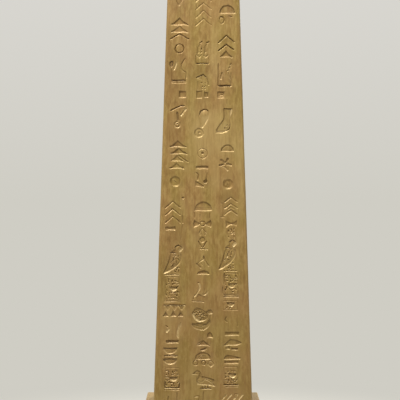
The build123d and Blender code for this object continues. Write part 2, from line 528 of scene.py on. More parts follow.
    # Signs of one kind

    def stand(self, width: float, left_post: float, right_post: float, height: float = 2.2,
              **look: float | bool) -> None:
        """Low bar with an upright at each end, from its middle bottom.

        Args:
            width: the bar's length.
            left_post: height of the left upright.
            right_post: height of the right upright.
            height: the bar's own height.
            look: the bar's depth, dirt and rub.
        """
        self.bar((0, 0), width, height, **look)
        for side, post, thick in ((-width / 2 - 0.4, left_post, 1.5), (width / 2 + 0.4, right_post, 1.3)):
            self.line([(side, 0.6), (side, post)], thick, 0.9, rub=0.4)

    def adze(self) -> None:
        """Curved blade on a faint stem, over a small eye."""
        self.line([(-6.6, 14.4), (-2, 16.9), (3, 19), (6.4, 18.8)], 1.9, 1.7, rounded=True, dirt=2.5, rub=0.0)
        self.line([(8, 16), (5.8, 13), (3.6, 9.8)], 2.6, **BRIGHT_RUB_AND_HIGHLIGHT)
        self.line([(-0.4, 12), (0.6, 4.6)], 3, 0.9, rub=0.6, dirt=1.9)
        self.ring((-0.2, 0.2), 2.6, 2.2, 1.0, **PALE_RUB_AND_HIGHLIGHT)
        self.line([(-1.2, 0.9), (0.2, 1.1)], 1.5, 1.6, inner=True, **DARK_GROUND_AND_SHADE)

    def sling(self) -> None:
        """Open loop whose tail runs down to a ring."""
        self.area([(0, 17), (1.2, 21.2), (4.4, 24.2), (7.6, 24), (10, 21.8), (10.2, 17.6), (8.8, 13.4),
                   (6.2, 9.2), (3.6, 5.6), (1.4, 5.2), (1, 9), (0, 13)], 0.6, rounded=True, tilt=0.3, rub=0.4,
                  dirt=0.7)
        self.line([(0.4, 17.6), (1.4, 21), (4.4, 23.6), (7.4, 23.6), (9, 22)], 1.7, 1.6, rounded=True,
                  dirt=2.0, rub=0.1)
        self.line([(9, 15), (6.6, 10.6), (3.8, 6)], 2.1, **BRIGHT_RUB_AND_HIGHLIGHT)
        self.disc((0, 0), 4.8, Floor.PILLOW, 1.2, run=1.2, dirt=0.8, rub=1.2)
        self.disc((0.4, 0.2), 1.2, depth=1.4, rub=0.2, inner=True)

    def leg(self) -> None:
        """Lower leg and foot on its sole."""
        outline = [(-1.2, 24.8), (6.8, 24.8), (5.8, 18), (5, 12), (5.8, 8), (4.8, 4), (1.5, 1), (-3, -0.4),
                   (-9.2, 0), (-9.2, 2.8), (-6, 8), (-1.8, 13.5), (-1, 18)]
        self.area(outline, 1.1, rub=0.2)
        self.line([(-0.6, 24.2), (6.2, 24.2)], 1.8, 1.9, inner=True, **DARK_GROUND_AND_SHADE)
        self.line([(-8.6, 1.7), (0, 1.6), (4, 3.4), (5, 6.4)], 1.5, 1.8, inner=True, **DARK_GROUND_AND_SHADE)
        self.line([(6.6, 23), (5.6, 18.6)], 1.6, 0.9, **BRIGHT_RUB_AND_HIGHLIGHT)
        self.pecks([(-2, 3.4), (5.6, 4), (5.8, 10), (0, 11)], 4, 2.6, 1.3)

    def star(self) -> None:
        """Star of five arms, the lowest one worn bright with a painted highlight."""
        for degrees in (62, 137, 197, 348):
            run, rise = math.cos(math.radians(degrees)), math.sin(math.radians(degrees))
            self.line([(1.8 * run, 1.8 * rise), (5.6 * run, 5.6 * rise)], 3.0, 1.3, dirt=1.1, rub=0.8)
        self.line([(-2.2, -2.6), (0.6, -4), (2.2, -6.6)], 2.2, rounded=True, **PALE_RUB_AND_HIGHLIGHT)

    def beetle(self) -> None:
        """Small beetle under spread wings, on a foot line."""
        for way in (-1, 1):
            self.area([(way * 2.6, 26.8), (way * 8.2, 30.2), (way * 9, 27), (way * 8.6, 22.8),
                       (way * 3, 25.2)], 1.2)
            self.line([(way * 3.6, 17.4), (0, 22)], 1.6, 1.2, rub=0.5)
            self.line([(way * 3.2, 17), (way * 2.2, 14.8)], 1.4, 0.7)
            self.line([(way * 4.2, 8.8), (way * 2.8, 6), (way * 0.9, 2.8)], 1.7, 1.4)
            self.line([(way * 2.4, 18), (way * 3.4, 16.4), (way * 2.4, 14.8), (way * 1.2, 16)], 1.2, 0.9,
                      closed=True)
        self.ring((0, 26.4), 2.4, 1.5, 1.4, rub=0.2)
        self.area(arc(0, 10.4, 2.6, 3, 0, 345), 1.1, Floor.PILLOW)
        self.line([(-2.6, 0.7), (5, 0.9)], 1.6, 1.1)
        self.line([(-0.2, 1), (0.2, 2.2)], 1.6, 1.1)

    def sprig(self) -> None:
        """Small plant with three leaves."""
        self.line([(0, 0), (0.2, 8.6)], 1.3, 0.6)
        self.line([(-0.2, 11.6), (1, 8), (4.4, 2.4)], 2.0, 1.4, rounded=True, rub=1.6, dirt=0.8)
        self.line([(-0.6, 8.6), (-3.6, 6.8), (-6.6, 4.2)], 1.7, 0.9, **PALE_RUB_AND_HIGHLIGHT)
        self.line([(-7.2, 4), (-5, 2), (-3, 0.2)], 2.0, 1.5, rounded=True)
        self.line([(-2.6, 5), (-1.6, 2.6)], 1.4)

    def bird(self, wide: float, tall: float, seed: int) -> None:
        """Standing hawk that faces right, from the tip of its tail.

        Args:
            wide: stretch of its width.
            tall: stretch of its height.
            seed: what the marks in its feathers are drawn from.
        """

        def sized(points: Sequence[Point]) -> list[Point]:
            """Points at this bird's size."""
            return [(wide * a, tall * b) for a, b in points]

        self.area(sized([(20.4, 26), (18.4, 28.4), (15.4, 29), (12.8, 27.4), (12, 24), (8.4, 21.6),
                         (5.8, 14.4), (2.9, 7), (0, 0), (5.2, 2.2), (12, 6.2), (16, 9.8), (18.6, 14),
                         (19.2, 18.6), (17.4, 22.4), (17.6, 24.4)]), 1.7, Floor.PILLOW, rounded=True,
                  tilt=-0.65, dirt=0.7)
        self.line(sized([(12.6, 26.4), (15.4, 28.4), (18.8, 27.2)]), 1.9, 1.7, rounded=True, **DARK_GROUND_AND_SHADE)
        self.line(sized([(20, 25.6), (17.4, 23)]), 2.6, **BRIGHT_RUB_AND_HIGHLIGHT)
        self.line(sized([(0.6, 0.2), (5.4, 2.2), (12, 6), (16.2, 9.8), (18.6, 14.2), (18.8, 18)]), 2.1, 1.4,
                  rounded=True, **PALE_RUB_AND_HIGHLIGHT)
        self.line(sized([(13.6, 19), (9.8, 13.2), (6.8, 7)]), 1.6, rounded=True, inner=True, **PALE_RUB_AND_HIGHLIGHT)
        self.line(sized([(8, 21), (12.6, 20.4)]), 1.9, 1.5, inner=True, **DARK_GROUND_AND_SHADE)
        self.pecks(sized([(3.4, 3), (9.6, 20), (16, 22.4), (18, 15), (12.6, 7.6)]), seed, 2.7, 1.4)
        self.pecks(sized([(7, 0.2), (17.6, 0.2), (19.4, 11.6), (14, 6.6)]), seed + 1, 2.4, 1.1, inner=False)

    def duck(self) -> None:
        """Duck that faces left, on a ground line."""
        self.area([(-11.3, 14.4), (-8.8, 16.6), (-6.7, 18.2), (-3.9, 17.8), (-2.3, 15.2), (-1.9, 12.2),
                   (0.7, 12), (5.3, 11), (10.1, 9.2), (11.1, 7.6), (9.6, 5.8), (12.2, 2.4), (8.3, 2.8),
                   (3.7, 3.4), (-0.3, 3.8), (-4.7, 4.4), (-6.7, 7), (-6.3, 9.6), (-5.1, 12.2), (-5.3, 13.8),
                   (-7.9, 14.2)], 1.5, Floor.PILLOW, tilt=-0.4)
        self.line([(-8, 16), (-5.6, 17.4), (-3.4, 15.6)], 1.5, 1.5, rounded=True, rub=0.2, inner=True)
        self.line([(-3.6, 15), (-3.4, 12), (-5.4, 8.8)], 1.6, 1.5, inner=True)
        self.line([(-4.6, 7.4), (-1.4, 6.6), (2, 9.4), (8.6, 5.6)], 2.0, 1.6, rounded=True, inner=True,
                  **PALE_RUB_AND_HIGHLIGHT)
        self.line([(1, 11), (9.4, 8.2)], 1.5, 1.7, rub=0.1)
        self.line([(-5.4, 4.8), (-0.2, 4.2), (5, 3.8), (11.4, 2.8)], 1.9, **PALE_RUB_AND_HIGHLIGHT)
        for foot in (-0.8, 2, 4.8):
            self.line([(foot, 2.8), (foot - 0.4, 0.6)], 1.6, 1.2, rub=0.3, dirt=2.0)
        self.line([(-2.6, 0.3), (8, 0)], 1.9, 1.5, dirt=2.0, rub=0.1)

    def duck_in_boat(self) -> None:
        """Duck with its head to the right over a crescent boat."""
        self.area([(-11.4, 6), (-9, 2.8), (-4.4, 0.6), (0.6, 0.4), (4.8, 3), (7.6, 8), (6.4, 10.2), (4.2, 8),
                   (2.6, 6.4), (0, 6.6), (-4, 7.6), (-7.6, 6.8), (-9.8, 7.2)], rounded=True)
        self.line([(-9.4, 5.6), (-6, 4.4), (-1.6, 3.6), (2, 5.4)], 1.5, 2.1, inner=True, rounded=True)
        body = [(-10.4, 18.4), (-7, 22.2), (-3, 22), (1.4, 19.4), (4.4, 16.8), (5, 13.6), (3, 10.6),
                (-1.4, 9), (-5, 9.6), (-8.4, 12.4), (-10.4, 15.4)]
        self.area(body, 1.3, Floor.PILLOW, rounded=True, tilt=-0.2)
        self.line([(-10, 15.6), (-8, 12), (-3.4, 9)], 2.2, rounded=True, **BRIGHT_RUB_AND_HIGHLIGHT)
        self.line([(8.6, 18), (7.4, 12.4), (6.4, 7.2), (2.6, 2.4)], 1.9, rounded=True, **PALE_RUB_AND_HIGHLIGHT)
        self.pecks(body, 11, 2.5, 2.0)
        self.area([(3, 18.4), (5, 20.6), (8, 20.6), (9.6, 18.4), (9.4, 16.4), (6, 16.2)], 1.6)

    def hooded_figure(self) -> None:
        """Small hooded figure on two blocks."""
        self.area([(-7.4, 21.2), (-3.4, 23.8), (0, 25.5), (3.2, 22.8), (4.4, 19.6), (3.4, 15), (1.2, 17),
                   (-1.8, 19.6), (-4.8, 20.2)], 1.2, tilt=0.85, rub=0.5)
        self.line([(-6.4, 21.8), (-3, 23.6), (0, 24.6), (2.8, 22)], 1.8, 1.7, inner=True, **DARK_GROUND_AND_SHADE)
        self.line([(3.4, 21), (5.4, 14.6)], 1.7, 1.2)
        self.line([(-5.4, 17.6), (-5.6, 9)], 1.5, 0.7, rub=0.4)
        self.pecks([(-6, 8.6), (4.6, 8.6), (5, 20), (-4, 20)], 6, 3.3, 0.65, inner=False)
        self.bar((-4.1, 0.7), 5.4, 7.6, 1.1)
        self.bar((2.8, 1.8), 3.8, 5.2)

    def kneeling_figure(self) -> None:
        """Kneeling figure with one hand raised, on a ground line."""
        self.disc((-4.8, 19.2), 0.9, depth=1.1, rub=0.3)
        self.line([(-3.6, 17.6), (-3.4, 14), (-5.6, 10), (-8.4, 6.2)], 2.2, rounded=True, **BRIGHT_RUB_AND_HIGHLIGHT)
        self.line([(-8.6, 6), (-9.8, 2.4)], 1.5, 0.8, rub=0.3)
        self.line([(1.5, 13.4), (1, 10), (-0.6, 7.9)], 1.6, 0.8, rub=0.4)
        self.line([(0.2, 7.4), (2.6, 8.2), (4.8, 11.2)], 2.0, rounded=True, **PALE_RUB_AND_HIGHLIGHT)
        self.area([(-6.4, 3.4), (0.6, 2.8), (1.6, 5.4), (-1.4, 6.8), (-4.6, 8)], 0.9, rounded=True, tilt=0.9,
                  rub=0.2, dirt=2.2)
        self.line([(-11, 1.3), (0.9, 0.2)], 1.5)

    def basket_and_arms(self) -> None:
        """Flat basket under two raised arms."""
        self.area([(-7.6, 7), (-4.6, 5.4), (0.9, 2.2), (0.4, 0.6), (-8, 1.9)])
        self.line([(-7.2, 15.4), (-4.9, 13.2), (-5.4, 8.2)], 1.9, 1.1)
        self.line([(4, 15), (3.3, 10), (2.3, 7.4)], 1.6, rub=0.4)
        self.disc((2.2, 6.6), 1.8, depth=1.9)

    # The three columns

    def left_column(self) -> None:
        """Signs of the left column, from the top."""
        self.loaf((-22.2, 470), 13, 8)
        self.bar((-22.4, 461), 12.5, 4)
        self.disc((-22.8, 450.5), 4.8)
        self.area([(-25, 416.6), (-21, 422.4), (-19, 428.6), (-22.6, 436), (-27.6, 438.6), (-29.4, 431.6),
                   (-28, 422.6)], floor=Floor.PILLOW, rounded=True)
        self.triangle((-24.2, 396.8), 17.2, 7.6)
        self.triangle((-24.4, 389.4), 17, 7.2, 0.95)
        self.line([(-33, 382.8), (-24.2, 387.8), (-15.2, 382.4)], 1.9, 1.5, dirt=1.6, rub=0.0)
        self.ring((-24.2, 372.8), 4.4, 1.6, 1.9, rub=0.0)
        self.sign((-25, 337.2), partial(self.stand, 13.4, 17, 11, 2.4, depth=0.5, rub=0.3))
        self.line([(-31.4, 340.2), (-18.6, 340.2)], 1.8, 1.8, **DARK_GROUND_AND_SHADE)
        self.area([(-34.8, 357), (-33, 360), (-30.6, 359), (-30.8, 355), (-33, 354)], 1.2, rounded=True,
                  dirt=3.0, rub=0.0)
        self.line([(-27.4, 358), (-28.4, 354.6), (-29.6, 351.8)], 2.2, **BRIGHT_RUB_AND_HIGHLIGHT)
        self.line([(-18.8, 362), (-22, 357), (-22.2, 353), (-20.5, 350)], 1.7, 1.2, rounded=True, rub=0.3)
        self.line([(-20.5, 350), (-17.6, 348.4), (-17.4, 343)], 1.8)
        self.bar((-21.2, 322.8), 6.8, 6.6, 1.3)
        self.sign((-26, 295.2), self.adze)
        self.triangle((-25.6, 272.6), 16.6, 6.6)
        self.triangle((-24.8, 265.6), 16.2, 6.4)
        self.triangle((-26.6, 258.3), 12.4, 6.2, 1.0)
        self.line([(-25, 264.4), (-20.4, 260.6), (-15.6, 257.4)], 1.7, 1.3, rub=0.4)
        self.triangle((-27, 250.9), 14.4, 5.6, 1.0)
        self.disc((-20.8, 251.8), 1.0, rub=0.2)
        self.disc((-28.3, 237.8), 5.3, Floor.PILLOW, 1.9, run=1.6, dirt=0.6)
        self.line([(-29.4, 238.6), (-27.8, 237.2)], 1.9, 1.7, inner=True, rub=0.3)
        self.disc((-20.3, 221.2), 1.1, depth=1.6, rub=0.2)
        self.line([(-20.2, 219), (-20.5, 204)], 1.2, 0.4)
        self.line([(-20.8, 203), (-20.6, 196)], 1.9, 1.1, rub=0.4)
        self.line([(-20.8, 194), (-22.8, 178)], 1.5, 0.5)
        self.chevrons((-30.8, 196), 14.6, 6.4, 7.5, 3, 2.1, rub=0.4)
        self.bow((-33, 190.3), 9.2, 4.2, 1.8)
        self.sign((-39.8, 145.2), partial(self.bird, 0.93, 0.98, 21))
        self.line([(-38.2, 143.8), (-24.4, 143.8)])
        self.framed_group((-38, 118), (-23.8, 141.4), (-29.8, 127.4), 3)
        self.line([(-38.6, 117), (-23.4, 117)], 1.4, 0.9)
        self.line([(-39, 113.1), (-18.2, 113.1)], 1.8, 1.7, dirt=2.0, rub=0.1)
        self.wedges((-28.9, 112.6), 6, -4.8, 7, 3, 0.8)
        for x in (-35.4, -28.4, -21.4):
            self.line([(x, 108.6), (x + 2.4, 111.8)], 1.4, 0.9, **PALE_RUB_AND_HIGHLIGHT)
        self.wedges((-30, 102), 5.6, 5, 7.6, 3)
        self.area([(-22.4, 96.2), (-25.4, 91.6), (-27.2, 86), (-26.6, 82.6), (-24.4, 80.6), (-23.4, 84.6),
                   (-21.4, 90.4), (-21, 94)], 0.9, rounded=True, tilt=-0.5, dirt=0.3, rub=2.5)
        self.line([(-23.2, 92.6), (-24.8, 87.6), (-25.4, 82.4)], 2.2, rounded=True, **BRIGHT_RUB_AND_HIGHLIGHT)
        self.line([(-37.2, 92.6), (-35.4, 91.2)], 1.9, 1.4, rub=0.2)
        self.line([(-34.6, 88.8), (-36.2, 86.8)], 2.2, **BRIGHT_RUB_AND_HIGHLIGHT)
        self.bar((-30.8, 75.3), 12.8, 2.9, 1.7)
        for x, z in ((-32.8, 64.5), (-33, 53.9)):
            self.bowl((x, z), 13.8, 6, 1.6, Floor.PILLOW)
            self.line([(x - 6, z + 5.2), (x + 6, z + 5.2)], 2.0, 1.9, inner=True, **DARK_GROUND_AND_SHADE)
        self.line([(-38.2, 62.8), (-26.2, 62.8)], 1.8, 1.6, dirt=2.0, rub=0.2)
        self.line([(-30, 60.9), (-26.8, 61.8)], 1.6, **PALE_RUB_AND_HIGHLIGHT)
        self.framed_group((-38, 30.6), (-23.6, 50.4), (-29.4, 37), 5)
        self.line([(-38, 36.4), (-38, 30.6), (-23.8, 30.6), (-23.6, 35)], 1.8, 1.7, **DARK_GROUND_AND_SHADE)
        self.line([(-38.4, 28.6), (-23.6, 28.6)], 1.3, 1.2, **DARK_GROUND_AND_SHADE)
        self.line([(-34.8, 13), (-34.6, 22)], 2)
        self.line([(-26, 16), (-25.8, 25.6)], 2)
        self.bar((-31, 5.4), 13, 3.6)

    def middle_column(self) -> None:
        """Signs of the middle column, from the top."""
        self.loaf((0, 472), 14, 7.5)
        self.ring((0, 458.5), 5)
        self.disc((0, 458.5), 1.4)
        self.bar((0, 440), 12.5, 4.4)
        self.chevrons((0.1, 396.2), 15.4, 7, 8.2, 4, 1.8, depth=0.55, rub=0.2, dirt=1.8)
        self.sign((-1, 357.2), partial(self.stand, 12.4, 8, 8, 0.8, depth=1.5, **DARK_GROUND_AND_SHADE))
        for x in (-5.6, 1.2):
            self.area([(0, 0), (1.2, 4.4), (2.2, 9), (4.6, 14), (2.2, 12), (-0.4, 8), (-0.8, 3)], 0.5,
                      Floor.PILLOW, (x, 366), rounded=True, rub=0.2)
            self.line([(2.2, 12.4), (4.4, 14)], 1.5, 1.4, (x, 366), **DARK_GROUND_AND_SHADE)
            self.line([(-0.8, 0.6), (1.2, -1.8), (3.4, 0.6)], 1.8, 0.9, (x, 365.4), rub=2.0, dirt=0.3)
        self.pecks([(-7, 364), (6, 364), (6, 376), (-7, 376)], seed=8, pitch=3.8, depth=0.8, inner=False)
        self.sign((0, 321.4), self.hooded_figure)
        self.sign((-4.4, 287), self.sling)
        self.ring((-0.6, 266), 4.9, 1.5, rub=0.3)
        self.disc((-0.7, 266.6), 1.3, depth=1.6)
        self.bar((-1.2, 250.5), 12, 3, rub=0.4)
        self.sign((0, 231.2), self.basket_and_arms)
        self.area([(-8.8, 208.2), (-8.2, 211), (-6.4, 214.4), (-3, 216.9), (0.2, 217.6), (3.6, 216.8),
                   (7, 213.8), (8.4, 211.4), (8.6, 208.2)])
        self.line([(-7.8, 210.8), (7.4, 210.8)], 1.5, 1.8, inner=True)
        self.line([(-8.8, 206), (-8.9, 201)], 1.4, 0.8, rub=0.3)
        self.line([(6.8, 206), (6.8, 201)], 1.4, 0.8, rub=0.3)
        self.line([(-3.4, 204), (-3, 201)], 1.4, 0.7, rub=0.3)
        self.sign((-0.7, 168.6), self.beetle)
        self.sign((0.8, 150.6), self.sprig)
        self.loaf((0.2, 144.2), 12.2, 3.7)
        self.sign((0, 116.2), self.kneeling_figure)
        self.sign((0, 88), self.duck_in_boat)
        self.loaf((6.8, 80.6), 5.6, 5.4)
        self.triangle((0.3, 72.8), 12.6, 5)
        self.line([(-5.6, 74.4), (0, 77.6), (4.6, 74.8)], 1.5, 1.6, inner=True)
        self.area([(-3.2, 68.6), (3.8, 71.4), (3.8, 69.6), (1, 67.6), (-2.4, 67.4)])
        self.loaf((-0.2, 58.9), 15.4, 7.2, Floor.PILLOW)
        self.line([(-4.4, 61), (-1.6, 63), (2.6, 62.4)], 1.4, 1.7, rounded=True, inner=True)
        self.ring((-7.5, 55.4), 2.4, 1.6, 1.2, rub=0.5)
        self.ring((0.6, 55.8), 2.1, 1.8, 1.6, rub=0.4)
        self.line([(4.8, 54.6), (7.6, 57.8)], 1.5, rub=0.3)
        self.line([(4.8, 54.4), (7.8, 51.8), (10.6, 54.6), (8.2, 57.6)], 2.0, **PALE_RUB_AND_HIGHLIGHT)
        self.sign((0.3, 29.8), self.duck)
        self.line([(0.4, 14), (0.4, 26.6)], 1.8)
        self.line([(-6.4, 14), (-4.4, 19), (-3.6, 22.4), (-8, 22)], 1.6)
        self.triangle((0, 4.4), 12.4, 6)

    def right_column(self) -> None:
        """Signs of the right column, from the top."""
        self.triangle((21.6, 471), 13, 7)
        self.disc((21.8, 460), 4.6)
        self.bow((22.2, 447), 11, 5, 2.2)
        self.bar((22.6, 429), 12, 5)
        self.loaf((24.2, 408.8), 15, 8.6)
        self.bar((31, 408.8), 2.4, 2.2, 1.2)
        self.line([(16, 401.6), (17, 405), (19.6, 405.6), (21.2, 402), (19.6, 398.6), (17.2, 398.8)], 1.5,
                  closed=True, rounded=True, rub=0.2)
        self.line([(17.4, 405.2), (19.4, 405.2)], 1.9, 1.8, **DARK_GROUND_AND_SHADE)
        self.line([(26.4, 406), (28.8, 405.2)], 1.8, 1.2, dirt=2.0, rub=0.3)
        self.line([(15.4, 378.6), (23.2, 386), (31, 379.6)], 1.9, 1.5, dirt=1.8, rub=0.1)
        self.line([(15.8, 370.9), (22.9, 376.9), (30.5, 372)], 2.1, 1.8, dirt=1.8, rub=0.1)
        self.triangle((23, 364.2), 11.8, 6.6)
        self.sign((21.6, 334), partial(self.stand, 12.4, 21, 14, 1.6, depth=1.9, **DARK_GROUND_AND_SHADE))
        self.line([(15.2, 357), (15, 335)], 1.7, 1.3, dirt=1.5)
        self.line([(28, 343), (28.2, 335)], 1.6, 1.2, dirt=1.4)
        self.line([(18.8, 348), (17.6, 342)], 2.0, **PALE_RUB_AND_HIGHLIGHT)
        self.line([(28.4, 356), (26, 349), (27.4, 342)], 1.6, rounded=True, rub=1.6, dirt=0.6)
        for x, z in ((27.8, 356.6), (26.2, 353.4), (25, 350.4)):
            self.line([(x - 0.6, z - 0.8), (x + 0.5, z + 0.6)], 1.7, 1.2, rub=0.4)
        self.bar((17.8, 322.4), 6.8, 6.6, 1.5, tilt=0.4)
        self.line([(16.4, 325.2), (19.8, 325.6)], 2.0, 2.2, inner=True, dirt=0.3)
        self.line([(23.6, 316), (24, 320.6)], 1.4, 0.6, rub=0.3)
        self.sign((22, 287), self.leg)
        self.loaf((24.4, 268.2), 12.8, 6.8, Floor.PILLOW)
        self.sign((22.4, 255.6), self.star)
        self.disc((25, 235.1), 5.3, Floor.PILLOW, 2.1, run=2.2, dirt=0.5)
        self.line([(24, 236.6), (25, 233.8)], 1.4, 2.0, inner=True, rub=0.2)
        self.chevrons((27.9, 204.2), 12.4, 4.9, 6.3, 3)
        self.chevrons((27.9, 209.4), 6.4, 2.8, width=1.4)
        self.line([(17.6, 215.4), (19.8, 215.4), (19.6, 202), (17.4, 201.6), (21.4, 201.8)], 1.4, 0.7,
                  rub=0.5)
        self.area([(22.6, 198), (27, 196), (29.6, 195.9), (34, 198.6), (33.8, 192.6), (31, 194.2),
                   (27.4, 194.2), (23.2, 191.2)], 1.1, rub=0.2)
        self.pecks([(23.8, 180.6), (33.8, 180.6), (33.8, 192), (23.8, 192)], seed=13, depth=1.0, inner=False)
        self.sign((16, 149.2), partial(self.bird, 0.85, 1.03, 22))
        self.line([(20.8, 147.7), (34, 147.7)], 1.5)
        self.framed_group((20.6, 124), (35, 145.2), (29, 130.8), 7)
        self.line([(21.6, 135.6), (21.6, 145)], 2.0, 1.4, rub=0.2)
        self.line([(19.6, 131), (19.8, 125.6), (21.8, 123), (35.4, 123)], 1.6, 1.1)
        self.line([(21, 121.6), (35.8, 121.4)], 1.5, 1.1)
        self.framed_group((20.4, 108.4), (34.6, 117.4), (28, 111.8), 17)
        self.line([(23.4, 101.4), (22.2, 99), (23.6, 96.6)], 1.8, 1.4, rounded=True, rub=0.5)
        self.line([(34.6, 92), (34.8, 96)], 1.6, 0.7, rub=0.4)
        self.bar((29, 83), 13.8, 3.4, 1.5, dirt=0.6)
        self.area([(20.4, 73), (23.4, 75.6), (27, 79.6), (31, 79), (35, 77.8), (38.8, 76), (38, 74.4),
                   (33, 73.2), (28, 73.2), (23, 72.4)])
        self.line([(23.6, 75), (30, 76.4), (36, 75.6)], 1.4, 1.7, inner=True)
        self.bar((24.8, 68.8), 4.4, 3.1)
        self.bar((31.4, 68.4), 6.6, 2)
        self.area([(20.8, 59), (21.4, 61.2), (24, 63.4), (28, 63.2), (33, 62), (37.6, 60.8), (37, 59.2)])
        self.bar((28.4, 54.8), 14, 2.8, 1.2, dirt=0.6)
        self.framed_group((21.4, 33.8), (35, 51.4), (29.6, 40.8), 9)
        self.line([(21.2, 33.6), (35.2, 33.8)], 1.7, 1.6, **DARK_GROUND_AND_SHADE)
        self.line([(22, 31.6), (35.2, 31.8)], 1.4, 0.8)
        for x in (19.6, 24.4, 31, 36.2):
            self.line([(x, 19.6), (x + 3.8, 23.8)], **BRIGHT_RUB_AND_HIGHLIGHT)
        self.ring((33.4, 22.6), 2.4, 1.4, 0.8)
        self.loaf((29.6, 6.4), 14, 8)

    def weather(self) -> None:
        """Soft patches as (x, z, half width, half height): paint worn thin, or brushed fresh."""
        worn = ((-38, 372, 9, 26), (-31, 338, 12, 22), (-26, 286, 11, 18), (-27, 183, 13, 16),
                (-38, 150, 8, 20), (0, 101, 10, 12), (-4, 350, 9, 8), (3, 319, 9, 9), (24, 222, 9, 10),
                (-25, 420, 8, 12))
        fresh = ((12, 368, 4, 26), (16, 286, 20, 26), (38, 246, 5, 42), (12, 238, 4, 16), (-11, 180, 5, 12),
                 (-4, 286, 16, 24), (-11, 44, 4, 16), (-36, 100, 6, 14), (12, 300, 5, 12), (5, 23, 4, 7),
                 (-25, 22, 7, 8))
        for patches, share in ((worn, 1.0), (fresh, -1.0)):
            self.stains += [(*patch, share) for patch in patches]


# ---- From cuts to a triangle sheet ----


def level_loops(field_values: np.ndarray, level: float, x0: float, z0: float,
                step: float) -> list[np.ndarray]:
    """Closed lines where a sampled field crosses a level.

    Args:
        field_values: samples, one row for each height.
        level: the value to follow.
        x0: place of the first column.
        z0: height of the first row.
        step: spacing of the samples.

    Returns:
        Each loop as an array of (x, z) points.
    """
    f = field_values - level
    above = f > 0
    rows, columns = f.shape
    flat = above[:, :-1] != above[:, 1:]
    upright = above[:-1, :] != above[1:, :]
    flat_id = np.arange(rows * (columns - 1)).reshape(rows, columns - 1)
    upright_id = flat_id.size + np.arange((rows - 1) * columns).reshape(rows - 1, columns)
    mask = np.stack([flat[:-1], flat[1:], upright[:, :-1], upright[:, 1:]], axis=-1)
    ids = np.stack([flat_id[:-1], flat_id[1:], upright_id[:, :-1], upright_id[:, 1:]], axis=-1)
    count = mask.sum(axis=-1)
    pairs = [ids[count == 2][mask[count == 2]].reshape(-1, 2)]
    crossed = count == 4
    if crossed.any():
        middle = (f[:-1, :-1] + f[1:, :-1] + f[:-1, 1:] + f[1:, 1:])[crossed] > 0
        corner = above[:-1, :-1][crossed]
        low, high, left, right = ids[crossed].T
        same = middle == corner
        pairs.append(np.stack([low, np.where(same, right, left)], axis=1))
        pairs.append(np.stack([high, np.where(same, left, right)], axis=1))
    pairs = np.vstack(pairs)

    where = {}
    for crossed_here, numbers, across, up in ((flat, flat_id, 1, 0), (upright, upright_id, 0, 1)):
        r, c = np.nonzero(crossed_here)
        t = f[r, c] / (f[r, c] - f[r + up, c + across])
        x, z = x0 + (c + t * across) * step, z0 + (r + t * up) * step
        where.update(zip(numbers[r, c].tolist(), zip(x.tolist(), z.tolist())))

    beside: dict[int, list[int]] = {}
    for a, b in pairs.tolist():
        beside.setdefault(a, []).append(b)
        beside.setdefault(b, []).append(a)
    loops = []
    while beside:
        start = next(iter(beside))
        loop, here = [], start
        while here in beside:
            loop.append(where[here])
            onward = [n for n in beside.pop(here) if n in beside]
            if not onward:
                break
            here = onward[0]
        loops.append(np.array(loop))
    return loops


def thinned(loop: np.ndarray, tolerance: float) -> np.ndarray:
    """Keeps the fewest points of a closed loop that stay within a tolerance of it.

    Args:
        loop: the loop's points.
        tolerance: how far a dropped point may lie from the line that replaces it.

    Returns:
        The points that are kept, in order.
    """
    far = int(np.argmax(((loop - loop[0]) ** 2).sum(axis=1)))
    ring = np.vstack([loop, loop[:1]])
    keep = {0, far}
    todo = [(0, far), (far, len(loop))]
    while todo:
        a, b = todo.pop()
        if b - a < 2:
            continue
        start, end = ring[a], ring[b]
        run = end - start
        length = math.hypot(*run)
        rest = ring[a + 1 : b] - start
        off = np.abs(run[0] * rest[:, 1] - run[1] * rest[:, 0]) / length if length else np.hypot(*rest.T)
        worst = int(np.argmax(off))
        if off[worst] > tolerance:
            keep.add(a + 1 + worst)
            todo += [(a, a + 1 + worst), (a + 1 + worst, b)]
    return loop[sorted(keep)]


